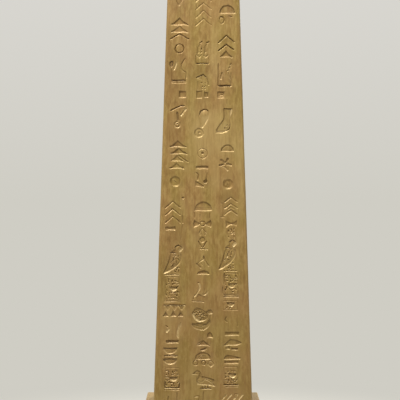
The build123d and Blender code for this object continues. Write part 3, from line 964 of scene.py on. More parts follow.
@dataclass
class ReliefSheet:
    """One face of the shaft as a flat triangle sheet, with the depth of the cuts at each corner."""

    foot_width: float
    head_width: float
    height: float
    arris_radius: float
    carving: Carving
    sample_step: float = 0.25
    line_tolerance: float = 0.075
    row_pitch: float = 7.0
    field_pitch: float = 8.5
    end_ease: float = 0.45
    seam_fade: float = 4.0
    hand: float = 0.13
    depth_spread: float = 0.25

    REACH = 1.6
    RIM = 0.15
    END_CORNERS = 17
    SHORTEST_LOOP = 8
    FIELD_COLUMNS = 13
    FIELD_SEED = 7
    CLEAR_OF_CUTS = 1.2
    LEVELS = (-0.4, 0.0, 0.3, 0.6, 0.9, 1.9)
    INNER_LEVELS = (0.0, 0.35, 0.6)
    ARRIS_DEGREES = (0, 15, 30, 45)

    def half_flat(self, z: float) -> float:
        """Half the flat part's width at a height."""
        width = self.foot_width + (self.head_width - self.foot_width) * z / self.height
        return width / 2 - self.arris_radius

    def half_sheet(self, z: float) -> float:
        """Half the sheet's width at a height, out to the middle of the arris."""
        return self.half_flat(z) + self.arris_radius * math.radians(self.ARRIS_DEGREES[-1])

    def by_hand(self, x: np.ndarray, z: np.ndarray) -> tuple[np.ndarray, np.ndarray]:
        """Shifts points a little, so that the cuts' edges waver as hand-cut ones do.

        Args:
            x: places across the face.
            z: heights on the face.

        Returns:
            The shifted places and heights.
        """
        wave_x = np.sin(z / 2.3 + 1.9 * np.sin(x / 3.7)) + 0.5 * np.sin(z / 0.9 + x / 1.3)
        wave_z = np.sin(x / 2.1 + 1.7 * np.sin(z / 4.1)) + 0.5 * np.sin(x / 0.8 - z / 1.1)
        return x + self.hand * wave_x, z + self.hand * wave_z

    def worked(self, x: np.ndarray, z: np.ndarray) -> dict[str, np.ndarray]:
        """What all cuts together do to the face at points; the strongest cut counts.

        Args:
            x: places across the face.
            z: heights on the face.

        Returns:
            What a cut gives, by the same names.
        """
        x, z = self.by_hand(x, z)
        found = {key: np.zeros(x.shape) for key in ("depth", "recess", "rub")}
        found["inside"] = np.full(x.shape, -self.REACH)
        for cut in self.carving.cuts:
            x_low, x_high, z_low, z_high = cut.box
            near = (x > x_low) & (x < x_high) & (z > z_low) & (z < z_high)
            if near.any():
                for key, value in cut.worked(x[near], z[near]).items():
                    found[key][near] = np.maximum(found[key][near], value)
        uneven = np.sin(x / 2.6 + 1.4 * np.sin(z / 5.3)) + np.sin(z / 3.1 + x / 7.7)
        found["depth"] *= 1 + self.depth_spread * uneven / 2
        return found

    def sampled(self, inner: bool) -> np.ndarray:
        """Samples how far inside the nearest cut's edge the face lies, on a regular grid.

        Args:
            inner: whether inner cuts count, or all others.

        Returns:
            The distances, one row for each height.
        """
        columns = int(self.foot_width / self.sample_step) + 1
        rows = int(self.height / self.sample_step) + 1
        grid = np.full((rows, columns), -self.REACH)
        xs = -self.foot_width / 2 + np.arange(columns) * self.sample_step
        zs = np.arange(rows) * self.sample_step
        for cut in self.carving.cuts:
            if cut.inner == inner:
                x_low, x_high, z_low, z_high = cut.box
                c = slice(*np.searchsorted(xs, (x_low, x_high)))
                r = slice(*np.searchsorted(zs, (z_low, z_high)))
                x, z = np.meshgrid(xs[c], zs[r])
                grid[r, c] = np.maximum(grid[r, c], cut.inside(*self.by_hand(x, z)))
        return grid

    def triangulated(self) -> tuple[np.ndarray, list]:
        """Makes the flat sheet, with every level line of the cuts among its edges.

        Returns:
            Its corners and its triangles.
        """
        near_ends = (self.RIM, self.end_ease, self.height - self.end_ease, self.height - self.RIM)
        rows = np.linspace(0, self.height, int(self.height / self.row_pitch) + 1)
        rows = np.sort(np.append(rows, near_ends))
        lines: list[tuple[Sequence, bool]] = []
        for way in (-1, 1):
            for degrees in self.ARRIS_DEGREES:
                turned = self.arris_radius * math.radians(degrees)
                lines.append(([(way * (self.half_flat(z) + turned), z) for z in rows], False))
        shares = np.linspace(-1, 1, self.END_CORNERS)
        for z in (0, *near_ends, self.height):
            lines.append(([(self.half_sheet(z) * share, z) for share in shares], False))

        for inner, levels in ((False, self.LEVELS), (True, self.INNER_LEVELS)):
            grid = self.sampled(inner)
            for level in levels:
                for loop in level_loops(grid, level, -self.foot_width / 2, 0, self.sample_step):
                    if len(loop) >= self.SHORTEST_LOOP:
                        lines.append((thinned(loop, self.line_tolerance), True))

        points: list[Point] = []
        edges: list[tuple[int, int]] = []
        for line, closed in lines:
            first, count = len(points), len(line)
            points.extend(tuple(map(float, p)) for p in line)
            edges.extend((first + i, first + i + 1) for i in range(count - 1))
            if closed:
                edges.append((first + count - 1, first))

        random = np.random.default_rng(self.FIELD_SEED)
        heights = np.arange(self.field_pitch, self.height - 3, self.field_pitch)
        zs, us = np.meshgrid(heights, np.linspace(-0.94, 0.94, self.FIELD_COLUMNS))
        loose = np.stack([us.ravel() * [self.half_flat(z) for z in zs.ravel()], zs.ravel()], axis=1)
        loose += random.uniform(-1.2, 1.2, loose.shape) * [0.5, 1]
        clear = self.worked(*loose.T)["inside"] < -self.CLEAR_OF_CUTS
        points.extend(map(tuple, loose[clear].tolist()))

        for cut in self.carving.cuts:
            if 0 < cut.width < 1.6 and (cut.inner or len(cut.points) == 2):
                x, z = np.asarray(cut.points).T
                bent_x, bent_z = self.by_hand(x, z)
                points.extend(zip((2 * x - bent_x).tolist(), (2 * z - bent_z).tolist()))

        made = delaunay_2d_cdt([Vector(p) for p in points], edges, [], 0, 1e-4, False)
        corners, triangles = np.array([tuple(v) for v in made[0]]), np.array(made[2])
        on_seam = np.abs(corners[:, 0]) > self.half_sheet(corners[:, 1]) - 1e-3
        return corners, triangles[~on_seam[triangles].all(axis=1)].tolist()

    def build(self, name: str) -> Piece:
        """Makes the sheet's piece, in metres, with what the bending tree and the paint read from it.

        Args:
            name: the piece's name.

        Returns:
            The flat piece.
        """
        corners, triangles = self.triangulated()
        x, z = corners.T
        found = self.worked(x, z)
        wave = 0.10 * np.sin(x / 11 + 1.3 * np.sin(z / 37)) * np.sin(z / 53 + 0.8)
        wave += 0.05 * np.sin(z / 17 + x / 23)
        wave *= np.clip((self.half_sheet(z) - np.abs(x)) / self.seam_fade, 0, 1)
        ends = np.minimum(z, self.height - z)
        ease = self.end_ease * (1 - np.sqrt(1 - np.clip(1 - ends / self.end_ease, 0, 1) ** 2))
        cut = found["depth"] + wave * (ends > 1) + ease
        stain = sum(share * np.exp(-(((x - a) / wide) ** 2) - ((z - b) / tall) ** 2)
                    for a, b, wide, tall, share in self.carving.stains)
        attributes = {
            "cut": cut * MM,
            "recess": found["recess"],
            # Paint worn bright along the arrises, which also paints a highlight on them.
            "rub": np.maximum(found["rub"], 0.7 * (np.abs(x) > self.half_flat(z) + 0.2)),
            "stain": np.clip(stain, -1, 1),
        }
        return mesh_object(name, np.stack([x * MM, z * MM, 0 * z], axis=1), triangles, attributes)


# ---- Geometry trees ----


def grid_places(node: Callable, rows: bpy.types.NodeSocket) -> tuple[Node, Node]:
    """Adds the numbers of the column and the row that a grid's corner lies in.

    Args:
        node: add_node for the tree.
        rows: how many rows the grid has.

    Returns:
        The nodes that give the column and the row.
    """
    index = node("InputIndex")
    column = node("FLOOR", [node("DIVIDE", [node("ADD", [index, 0.5]), rows])])
    return column, node("SUBTRACT", [index, node("MULTIPLY", [column, rows])])


def bend_tree() -> Tree:
    """Tree that bends a flat carved face onto one side of a tapered shaft, with half of both arrises.

    Returns:
        The tree. Its sheet lies in X and Y, with the attribute "cut" as the depth to sink each corner.
    """
    tree, given, node = start_tree(
        "Bend Face To Shaft", ["Foot Width", "Head Width", "Height", "Bottom", "Arris Radius"])
    radius = given["Arris Radius"]
    place = node("SeparateXYZ", [node("InputPosition")])
    across, up = place.outputs[0], place.outputs[1]
    foot = node("MULTIPLY", [given["Foot Width"], 0.5])
    head = node("MULTIPLY", [given["Head Width"], 0.5])
    half = node("MapRange", [up, 0.0, given["Height"], foot, head])
    flat = node("SUBTRACT", [half, radius])
    off = node("ABSOLUTE", [across])
    beyond = node("MAXIMUM", [node("SUBTRACT", [off, flat]), 0.0])
    angle = node("DIVIDE", [beyond, radius])
    cut = node("InputNamedAttribute", ["cut"], data_type="FLOAT")
    outward = node("SUBTRACT", [radius, cut])
    level = node("MINIMUM", [off, flat])
    side = node("MULTIPLY_ADD", [outward, node("SINE", [angle]), level])
    front = node("MULTIPLY_ADD", [outward, node("COSINE", [angle]), flat])
    bent = node("CombineXYZ", [node("MULTIPLY", [side, node("SIGN", [across])]),
                               node("MULTIPLY", [front, -1.0]), node("ADD", [up, given["Bottom"]])])
    face = node("SetPosition", {"Geometry": given["Geometry"], "Position": bent})
    return end_tree(tree, given, face)


def repeat_tree() -> Tree:
    """Tree that repeats a piece round the upright axis.

    Returns:
        The tree, with the number of copies, their distance from the axis and the turn of the first as inputs.
    """
    tree, given, node = start_tree("Repeat Round Axis", ["Distance", "First Turn"], ["Count"])
    step = node("DIVIDE", [2 * math.pi, given["Count"]])
    turn = node("MULTIPLY_ADD", [node("InputIndex"), step, given["First Turn"]])
    spot = node("VectorRotate", {"Vector": node("CombineXYZ", [given["Distance"]]), "Angle": turn},
                rotation_type="Z_AXIS")
    spots = node("Points", {"Count": given["Count"], "Position": spot})
    copies = node("InstanceOnPoints", {"Points": spots, "Instance": given["Geometry"],
                                       "Rotation": node("CombineXYZ", [None, None, turn])})
    return end_tree(tree, given, copies)


def profile_tree() -> Tree:
    """Tree that runs a profile round a block with rounded corners, as a template runs round wet plaster.

    Returns:
        The tree. Its geometry is the profile's points in order: X is half the width across flats and Z the
        height. The attribute "corner" is the corner radius at each, and half the width itself gives a circle.
    """
    tree, given, node = start_tree("Run Profile Round", [], ["Sides", "Side Steps", "Corner Steps"])
    profile = given["Geometry"]
    count = node("AttributeDomainSize", [profile]).outputs["Point Count"]
    side_steps, corner_steps = given["Side Steps"], given["Corner Steps"]
    steps = node("ADD", [side_steps, corner_steps])
    around = node("MULTIPLY_ADD", [steps, given["Sides"], 1.0])
    grid = node("MeshGrid", {"Vertices X": around, "Vertices Y": count}).outputs[0]

    station, row = grid_places(node, count)
    side = node("FLOOR", [node("DIVIDE", [node("ADD", [station, 0.5]), steps])])
    step = node("SUBTRACT", [station, node("MULTIPLY", [side, steps])])
    share = node("MINIMUM", [node("DIVIDE", [step, side_steps]), 1.0])
    wedge = node("DIVIDE", [2 * math.pi, given["Sides"]])
    past = node("MAXIMUM", [node("SUBTRACT", [step, side_steps]), 0.0])
    bend = node("MULTIPLY", [wedge, node("DIVIDE", [past, corner_steps])])

    sampled = {}
    for name in ("corner", "recess", "rub"):
        named = node("InputNamedAttribute", [name], data_type="FLOAT")
        sampled[name] = node("SampleIndex", {"Geometry": profile, "Value": named, "Index": row},
                             data_type="FLOAT")
    point = node("SampleIndex", {"Geometry": profile, "Value": node("InputPosition"), "Index": row},
                 data_type="FLOAT_VECTOR")
    point = node("SeparateXYZ", [point])
    core = node("SUBTRACT", [point.outputs[0], sampled["corner"]])
    slope = node("TANGENT", [node("MULTIPLY", [wedge, 0.5])])
    reach = node("MULTIPLY", [core, slope])
    spread = node("MULTIPLY_ADD", [share, 2.0, -1.0])
    swing = node("MULTIPLY", [sampled["corner"], node("SINE", [bend])])
    along = node("MULTIPLY_ADD", [reach, spread, swing])
    out = node("MULTIPLY_ADD", [sampled["corner"], node("COSINE", [bend]), core])
    local = node("CombineXYZ", [along, node("MULTIPLY", [out, -1.0]), point.outputs[2]])
    placed = node("VectorRotate", {"Vector": local, "Angle": node("MULTIPLY", [side, wedge])},
                  rotation_type="Z_AXIS")
    shell = node("SetPosition", {"Geometry": grid, "Position": placed})
    # Paint worn bright on the block's corners, which also paints a highlight on them.
    on_corner = node("GREATER_THAN", [past, 0.0])
    rub = node("MAXIMUM", [sampled["rub"], node("MULTIPLY", [on_corner, 0.8])])
    for name, value in (("recess", sampled["recess"]), ("rub", rub)):
        shell = node("StoreNamedAttribute", {"Geometry": shell, "Name": name, "Value": value},
                     data_type="FLOAT", domain="POINT")
    return end_tree(tree, given, shell)


def thread_tree() -> Tree:
    """Tree that makes the side of a threaded rod, with both ends turned to a short cone.

    Returns:
        The tree, with the rod's sizes as inputs.
    """
    tree, given, node = start_tree(
        "Cut Thread", ["Radius", "Pitch", "Thread Depth", "Bottom", "Top", "End Cone"], ["Around", "Rings"])
    rings = given["Rings"]
    wide = node("ADD", [given["Around"], 1.0])
    grid = node("MeshGrid", {"Vertices X": wide, "Vertices Y": rings}).outputs[0]
    station, ring = grid_places(node, rings)
    part = node("DIVIDE", [station, given["Around"]])
    last = node("SUBTRACT", [rings, 1.0])
    height = node("MapRange", [ring, 0.0, last, given["Bottom"], given["Top"]])
    wound = node("SUBTRACT", [node("DIVIDE", [height, given["Pitch"]]), part])
    valley = node("PINGPONG", [wound, 0.5])
    groove = node("MULTIPLY", [node("MULTIPLY", [valley, 2.0]), given["Thread Depth"]])
    crest = node("SUBTRACT", [given["Radius"], groove])
    low = node("SUBTRACT", [height, given["Bottom"]])
    high = node("SUBTRACT", [given["Top"], height])
    near = node("MINIMUM", [low, high])
    cone = node("ADD", [near, node("SUBTRACT", [given["Radius"], given["End Cone"]])])
    radius = node("MINIMUM", [crest, cone])
    angle = node("MULTIPLY", [part, 2 * math.pi])
    placed = node("CombineXYZ", [node("MULTIPLY", [radius, node("COSINE", [angle])]),
                                 node("MULTIPLY", [radius, node("SINE", [angle])]), height])
    return end_tree(tree, given, node("SetPosition", {"Geometry": grid, "Position": placed}))


def wear_tree() -> Tree:
    """Tree that gives a cast surface its slight lumps, sideways only and inwards, so that beds stay level.

    Returns:
        The tree, with the depth, the lumps' size and the levels between which they lie as inputs.
    """
    tree, given, node = start_tree("Soften Cast Surface", ["Depth", "Lump Size", "Bottom", "Top"])
    place = node("InputPosition")
    height = node("SeparateXYZ", [place]).outputs[2]
    low = node("SUBTRACT", [height, given["Bottom"]])
    high = node("SUBTRACT", [given["Top"], height])
    fade = node("MapRange", [node("MINIMUM", [low, high]), 0.6 * MM, 3 * MM])
    scale = node("DIVIDE", [1.0, given["Lump Size"]])
    lumps = node("TexNoise", [place, scale, 3.0, 0.6])
    inward = node("MINIMUM", [node("SUBTRACT", [lumps, 0.68]), 0.0])
    push = node("MULTIPLY", [inward, node("MULTIPLY", [given["Depth"], fade])])
    level = node("VectorMath", [node("InputNormal"), (1, 1, 0)], operation="MULTIPLY")
    offset = node("VectorMath", {"Vector": level, "Scale": push}, operation="SCALE")
    return end_tree(tree, given, node("SetPosition", {"Geometry": given["Geometry"], "Offset": offset}))


# ---- Finishes ----


def start_material(name: str) -> tuple[Material, Node, Callable]:
    """Starts a material.

    Args:
        name: the real material and how its surface was made.

    Returns:
        The material, its surface shader node, and add_node for its tree.
    """
    material = bpy.data.materials.new(name)
    material.use_nodes = True
    return material, material.node_tree.nodes["Principled BSDF"], partial(add_node, material.node_tree)


@dataclass(frozen=True)
class OldGoldComposition:
    """Dense gypsum composition, cast, painted brown and dry-brushed upright with old-gold bronze paint.

    The eye gets a satin, half-metallic skin with fine upright brush marks, brown ground showing in the
    recesses with painted shade where they face down, a paler worn edge on lips and arrises with a painted
    highlight where they face up, a pale painted highlight on upward faces and painted shade towards the foot.
    A bristle leaves a mark 0.3 mm wide and the paint's grain is 0.1 mm: both are drawn coarser, so that they
    show.
    """

    gold: str = "#A98949"
    pale_gold: str = "#BA9E63"
    deep_gold: str = "#8E6D36"
    # Thin gold, also used for the painted shade towards the foot.
    thin_gold_and_shade: str = "#76572A"
    # Brown ground colour, which also paints shade in the recesses.
    ground: str = "#573C14"
    # Pale worn gold, which also paints the highlights on lips and arrises.
    worn_bright_and_highlight: str = "#DABE86"
    olive_gold: str = "#98803A"
    rosy_gold: str = "#A37C48"
    # Pale colour painted on faces that look up, as a highlight.
    upward_highlight_pale: str = "#D6C59C"
    tint_size: float = 22.0
    brush_width: float = 2.1
    brush_length: float = 34.0
    patch_size: float = 24.0
    worn_size: float = 15.0
    mottle_size: float = 3.2
    grain_size: float = 0.9
    # Painted shade: the colour darkens between these heights towards the foot.
    foot_shade_from: float = 330.0
    foot_shade_to: float = 150.0
    metallic: float = 0.35
    roughness: float = 0.47

    @cache
    def material(self) -> Material:
        """Makes the material once.

        Returns:
            The material.
        """
        made, shader, node = start_material("Gypsum_composition_brushed_old_gold")
        place = node("TexCoord").outputs["Object"]
        upright = (1 / (self.brush_width * MM), 1 / (self.brush_width * MM), 1 / (self.brush_length * MM))
        stroke_place = node("VectorMath", [place, upright], operation="MULTIPLY")
        strokes = node("TexNoise", [stroke_place, 1.0, 3.0, 0.6])
        patches = node("TexNoise", [place, 1 / (self.patch_size * MM), 3.0, 0.55])
        grain = node("TexNoise", [place, 1 / (self.grain_size * MM), 2.0, 0.5])
        recess = node("Attribute", attribute_name="recess").outputs["Fac"]
        rub = node("Attribute", attribute_name="rub").outputs["Fac"]

        drawn_out = [share / (self.mottle_size * MM) for share in (1.2, 1.2, 0.4)]
        mottle_place = node("VectorMath", [place, drawn_out], operation="MULTIPLY")
        mottle = node("TexNoise", [mottle_place, 1.0, 3.0, 0.65])
        worn = node("TexNoise", [place, 1 / (self.worn_size * MM), 3.0, 0.6])

        stroke_share = node("MapRange", [strokes, 0.34, 0.66])
        patch_share = node("MapRange", [patches, 0.38, 0.64])
        lighter = node("MULTIPLY", [patch_share, node("MULTIPLY", [stroke_share, 0.7])])
        tint_axes = [share / (self.tint_size * MM) for share in (1.0, 1.0, 0.4)]
        tint_place = node("VectorMath", [place, tint_axes], operation="MULTIPLY")
        tints = node("TexNoise", [tint_place, 1.0, 2.0, 0.5])
        tint_share = node("MapRange", [tints, 0.41, 0.59])
        bare = node("MULTIPLY", [node("MapRange", [worn, 0.4, 0.66, 0.3]),
                                 node("MapRange", [mottle, 0.42, 0.68, 0.0, 0.6])])
        flecks = node("MapRange", [mottle, 0.5, 0.34, 0.0, 0.36])
        stain = node("Attribute", attribute_name="stain").outputs["Fac"]
        ragged = node("MapRange", [strokes, 0.3, 0.7, 0.35, 0.75])
        fresh = node("MULTIPLY", [node("MULTIPLY", [stain, -1.0], use_clamp=True), ragged])
        worn_thin = node("MULTIPLY", [node("MULTIPLY", [stain, 0.6], use_clamp=True), ragged])
        height = node("SeparateXYZ", [place]).outputs[2]
        # Painted shade, darker towards the foot.
        painted_foot_shade = node("MapRange", [height, self.foot_shade_to * MM, self.foot_shade_from * MM, 0.28, 0.0],
                       interpolation_type="SMOOTHSTEP")
        grain_share = node("MapRange", [grain, 0.35, 0.7])
        facing_up = node("SeparateXYZ", [node("NewGeometry").outputs["Normal"]]).outputs[2]
        # Brown ground in the recesses, with painted shade: stronger on faces that look down, away from the
        # lamp.
        painted_shade_side = node("MapRange", [facing_up, -0.1, 0.4, 1.0, 0.3])
        thin = node("MULTIPLY", [node("MULTIPLY", [recess, painted_shade_side]),
                                 node("MapRange", [grain_share, 0.0, 1.0, 0.35, 0.85])])
        # Painted highlight: worn bright paint shown mostly on faces that look up towards the lamp.
        upper = node("MapRange", [facing_up, 0.1, 0.5, 0.3])
        polish = node("MapRange", [mottle, 0.38, 0.62, 0.05, 0.52])
        worn_and_painted_highlight = node("MULTIPLY", [rub, node("MULTIPLY", [upper, polish])])
        # Painted highlight: a pale colour on faces that look up, towards the lamp.
        upward_highlight_mask = node("MapRange", [facing_up, 0.3, 0.9, 0.0, 0.15])
        upward_highlight = node("MULTIPLY", [upward_highlight_mask, node("MapRange", [grain_share, 0.0, 1.0, 0.6])])

        colour = node("Mix", [stroke_share, self.deep_gold, self.gold], data_type="RGBA")
        tint = node("Mix", [tint_share, self.olive_gold, self.rosy_gold], data_type="RGBA")
        for share, paint in (
            (lighter, self.pale_gold), (0.5, tint), (bare, self.thin_gold_and_shade), (flecks, self.pale_gold),
            (fresh, self.pale_gold), (worn_thin, self.thin_gold_and_shade), (painted_foot_shade, self.thin_gold_and_shade),
            (thin, self.ground), (worn_and_painted_highlight, self.worn_bright_and_highlight), (upward_highlight, self.upward_highlight_pale),
        ):
            colour = node("Mix", [share, colour, paint], data_type="RGBA")

        metal = node("MapRange", [thin, 0.0, 1.0, self.metallic, 0.1])
        rough = node("MapRange", [grain, 0.3, 0.7, self.roughness - 0.06, self.roughness + 0.1])
        fine = node("Bump", {"Strength": 0.5, "Distance": 0.05 * MM, "Height": grain})
        brushed = node("Bump", {"Strength": 0.4, "Distance": 0.12 * MM, "Height": strokes, "Normal": fine})
        feed(made.node_tree, shader, {"Base Color": colour, "Metallic": metal, "Roughness": rough,
                                      "Normal": brushed})
        return made


@dataclass(frozen=True)
class ZincPlatedSteel:
    """Turned steel, bright zinc plated: a cool grey metal with faint cloudy spots and turning marks.

    Real turning marks are 0.1 mm apart. They are drawn coarser, so that they show.
    """

    zinc: str = "#B9BDBD"
    dull_zinc: str = "#8F9495"
    cloud_size: float = 2.4
    mark_pitch: float = 0.3
    mark_length: float = 5.0
    roughness: float = 0.32

    @cache
    def material(self) -> Material:
        """Makes the material once.

        Returns:
            The material.
        """
        made, shader, node = start_material("Steel_turned_zinc_plated")
        place = node("TexCoord").outputs["Object"]
        clouds = node("TexNoise", [place, 1 / (self.cloud_size * MM), 4.0, 0.6])
        along, across = 1 / (self.mark_length * MM), 1 / (self.mark_pitch * MM)
        mark_place = node("VectorMath", [place, (along, along, across)], operation="MULTIPLY")
        marks = node("TexNoise", [mark_place, 1.0, 2.0])
        colour = node("Mix", [clouds, self.zinc, self.dull_zinc], data_type="RGBA")
        rough = node("MapRange", [clouds, 0.0, 1.0, self.roughness - 0.08, self.roughness + 0.14])
        bump = node("Bump", {"Strength": 0.4, "Distance": 0.03 * MM, "Height": marks})
        feed(made.node_tree, shader, {"Base Color": colour, "Metallic": 1.0, "Roughness": rough,
                                      "Normal": bump})
        return made


@dataclass(frozen=True)
class WoolFelt:
    """Pressed wool felt, die cut: matt dark brown with a short tangled nap.

    Real fibres are 0.03 mm thick. They are drawn coarser, so that they show.
    """

    wool: str = "#3D2F25"
    pale_fibre: str = "#6B5747"
    fibre_size: float = 0.35
    clump_size: float = 2.2

    @cache
    def material(self) -> Material:
        """Makes the material once.

        Returns:
            The material.
        """
        made, shader, node = start_material("Wool_felt_pressed")
        place = node("TexCoord").outputs["Object"]
        fibres = node("TexNoise", {"Vector": place, "Scale": 1 / (self.fibre_size * MM), "Detail": 3.0,
                                   "Distortion": 2.5})
        clumps = node("TexNoise", [place, 1 / (self.clump_size * MM), 2.0])
        share = node("MULTIPLY", [fibres, clumps])
        share = node("MapRange", [share, 0.15, 0.4])
        colour = node("Mix", [share, self.wool, self.pale_fibre], data_type="RGBA")
        bump = node("Bump", {"Strength": 0.8, "Distance": 0.15 * MM, "Height": fibres})
        feed(made.node_tree, shader, {"Base Color": colour, "Roughness": 0.95, "Sheen Weight": 0.25,
                                      "Normal": bump})
        return made


@dataclass(frozen=True)
class PalePaper:
    """Matt rolled paper: an even warm grey with the faintest cloud, which fades into the surround."""

    paper: str = "#CFCCC3"
    cloud: str = "#CAC7BD"
    surround: str = "#CFCDC4"
    clouds_per_metre: float = 6.0
    fade_from: float = 0.22
    fade_to: float = 0.62

    @cache
    def material(self) -> Material:
        """Makes the material once.

        Returns:
            The material.
        """
        made, shader, node = start_material("Backdrop_paper_rolled")
        tree = made.node_tree
        place = node("TexCoord").outputs["Object"]
        clouds = node("TexNoise", [place, self.clouds_per_metre, 3.0])
        colour = node("Mix", [clouds, self.paper, self.cloud], data_type="RGBA")
        feed(tree, shader, {"Base Color": colour, "Roughness": 0.9, "Specular IOR Level": 0.2})
        away = node("VectorMath", [place], operation="LENGTH").outputs["Value"]
        fade = node("MapRange", [away, self.fade_from, self.fade_to], interpolation_type="SMOOTHSTEP")
        glow = node("Emission", {"Color": self.surround})
        seen = node("MixShader", [node("MULTIPLY", [fade, seen_directly(node)]), shader, glow])
        feed(tree, tree.nodes["Material Output"], {"Surface": seen})
        return made


def seen_directly(node: Callable) -> Node:
    """Adds a number that is 1 for what the eye sees, straight or in a gloss, and 0 for what only lights.

    Args:
        node: add_node for the tree.

    Returns:
        The node that gives the number.
    """
    path = node("LightPath")
    straight = node("MAXIMUM", [path.outputs["Is Camera Ray"], path.outputs["Is Glossy Ray"]])
    return node("MAXIMUM", [straight, path.outputs["Is Transmission Ray"]])


# ---- Pieces ----


@dataclass
class Profile:
    """Outline that is run round a block, in millimetres, with how the paint sits along it and where shade and
    highlight are painted.
    """

    rows: list[tuple[float, float, float, float, float]] = field(default_factory=list)

    LUMP_SIZE = 9.0

    def to(self, half: float, height: float, corner: float, recess: float = 0.0, rub: float = 0.0,
           steps: int = 1) -> "Profile":
        """Runs straight to a point.

        Args:
            half: half the width across flats.
            height: level above the ground.
            corner: radius of the block's corners there; half the width for a circle.
            recess: how much brown ground shows, which also paints shade, from 0 to 1.
            rub: how worn bright the paint is, which also paints a highlight, from 0 to 1.
            steps: pieces that the run is split in.

        Returns:
            The profile itself.
        """
        end = np.array((half, height, corner, recess, rub))
        start = np.array(self.rows[-1]) if self.rows else end
        for i in range(1, steps + 1):
            mixed = start + (end - start) * i / steps
            if i < steps:
                mixed[3:] = min(start[3], recess), 0
            self.rows.append(tuple(mixed))
        return self

    def round(self, centre: Point, radius: float, start: float, end: float, corner: float,
              recess: float = 0.0, rub: float = 0.0, steps: int = 8) -> "Profile":
        """Runs along an arc, from one angle in degrees to another.

        Args:
            centre: the arc's centre.
            radius: its radius.
            start: angle that it starts at, counted from outwards.
            end: angle that it ends at.
            corner: radius of the block's corners.
            recess: how much brown ground shows at the middle of the arc, which also paints shade.
            rub: how worn bright the paint is at the middle of the arc, which also paints a highlight.
            steps: pieces of the arc.

        Returns:
            The profile itself.
        """
        for i, (half, height) in enumerate(arc(*centre, radius, radius, start, end, steps)):
            share = math.sin(math.pi * i / steps)
            self.rows.append((half, height, corner, recess * share, rub * share))
        return self

    def block(self, name: str, material: Material, sides: int = 4, side_steps: int = 40,
              corner_steps: int = 4, wear: float = 0.0) -> Piece:
        """Runs the profile round and closes the surface.

        Args:
            name: the piece's name.
            material: what it is dressed in.
            sides: number of flats.
            side_steps: pieces of each flat.
            corner_steps: pieces of each corner.
            wear: depth of the lumps in its surface.

        Returns:
            The finished piece.
        """
        half, height, corner, recess, rub = np.array(self.rows).T
        points = np.stack([half, 0 * half, height], axis=1) * MM
        piece = mesh_object(name, points, [], {"corner": corner * MM, "recess": recess, "rub": rub})
        stages = [(profile_tree(), {"Sides": sides, "Side Steps": side_steps, "Corner Steps": corner_steps})]
        if wear:
            stages.append((wear_tree(), {
                "Depth": wear * MM, "Lump Size": self.LUMP_SIZE * MM, "Bottom": height.min() * MM,
                "Top": height.max() * MM}))
        grow(piece, material, *stages)
        with opened(piece) as mesh:
            bmesh.ops.dissolve_degenerate(mesh, dist=WELD / 4, edges=mesh.edges)
        finish_surface(piece, sharp_degrees=38)
        return piece


def sink_socket(mesh: bmesh.types.BMesh, level: float, outline: Sequence[Point], depth: float) -> None:
    """Closes the open end of a shell at a level, with a blind socket in it.

    Args:
        mesh: the shell, open at that level.
        level: height of the end, in metres.
        outline: the socket's outline, in metres.
        depth: how far the socket goes up, or down where it is negative, in metres.
    """
    rim = [edge for edge in mesh.edges if edge.is_boundary and abs(edge.verts[0].co.z - level) < 1e-5]
    ring = [mesh.verts.new((x, y, level)) for x, y in outline]
    mouth = [mesh.edges.new((a, b)) for a, b in zip(ring, [*ring[1:], ring[0]])]
    bmesh.ops.triangle_fill(mesh, edges=rim + mouth, use_beauty=True)
    end = [mesh.verts.new((x, y, level + depth)) for x, y in outline]
    for i in range(len(ring)):
        mesh.faces.new((ring[i - 1], ring[i], end[i], end[i - 1]))
    mesh.faces.new(end)


@dataclass
class Shaft:
    """Tapered shaft, its four faces carved alike, with a socket in its top and a blind hole in its foot."""

    finish: OldGoldComposition
    bottom: float = 111.6
    height: float = 490.0
    foot_width: float = 100.0
    head_width: float = 70.0
    arris_radius: float = 2.4
    socket_width: float = 38.6
    socket_depth: float = 13.0
    hole_radius: float = 4.3
    hole_depth: float = 60.3
    lump_depth: float = 0.28
    lump_size: float = 10.0

    def build(self) -> Piece:
        """Carves one face, bends it, repeats it round and closes both ends.

        Returns:
            The finished piece.
        """
        carving = Carving()
        carving.left_column()
        carving.middle_column()
        carving.right_column()
        carving.weather()
        sheet = ReliefSheet(self.foot_width, self.head_width, self.height, self.arris_radius, carving)
        piece = sheet.build("carved_shaft")
        grow(
            piece, self.finish.material(),
            (bend_tree(), {
                "Foot Width": self.foot_width * MM, "Head Width": self.head_width * MM,
                "Height": self.height * MM, "Bottom": self.bottom * MM,
                "Arris Radius": self.arris_radius * MM}),
            (repeat_tree(), {"Count": 4, "Distance": 0.0, "First Turn": 0.0}),
            (wear_tree(), {
                "Depth": self.lump_depth * MM, "Lump Size": self.lump_size * MM, "Bottom": self.bottom * MM,
                "Top": (self.bottom + self.height) * MM}),
        )
        self.close_ends(piece)
        finish_surface(piece, sharp_degrees=62)
        return piece

    def close_ends(self, piece: Piece) -> None:
        """Closes both ends with their socket and hole.

        Args:
            piece: the shaft's open shell.
        """
        side = self.socket_width / 2 * MM
        square = [(-side, -side), (side, -side), (side, side), (-side, side)]
        hole = [(x * MM, y * MM) for x, y in circle(0, 0, self.hole_radius)]
        with opened(piece) as mesh:
            sink_socket(mesh, (self.bottom + self.height) * MM, square, -self.socket_depth * MM)
            sink_socket(mesh, self.bottom * MM, hole, self.hole_depth * MM)


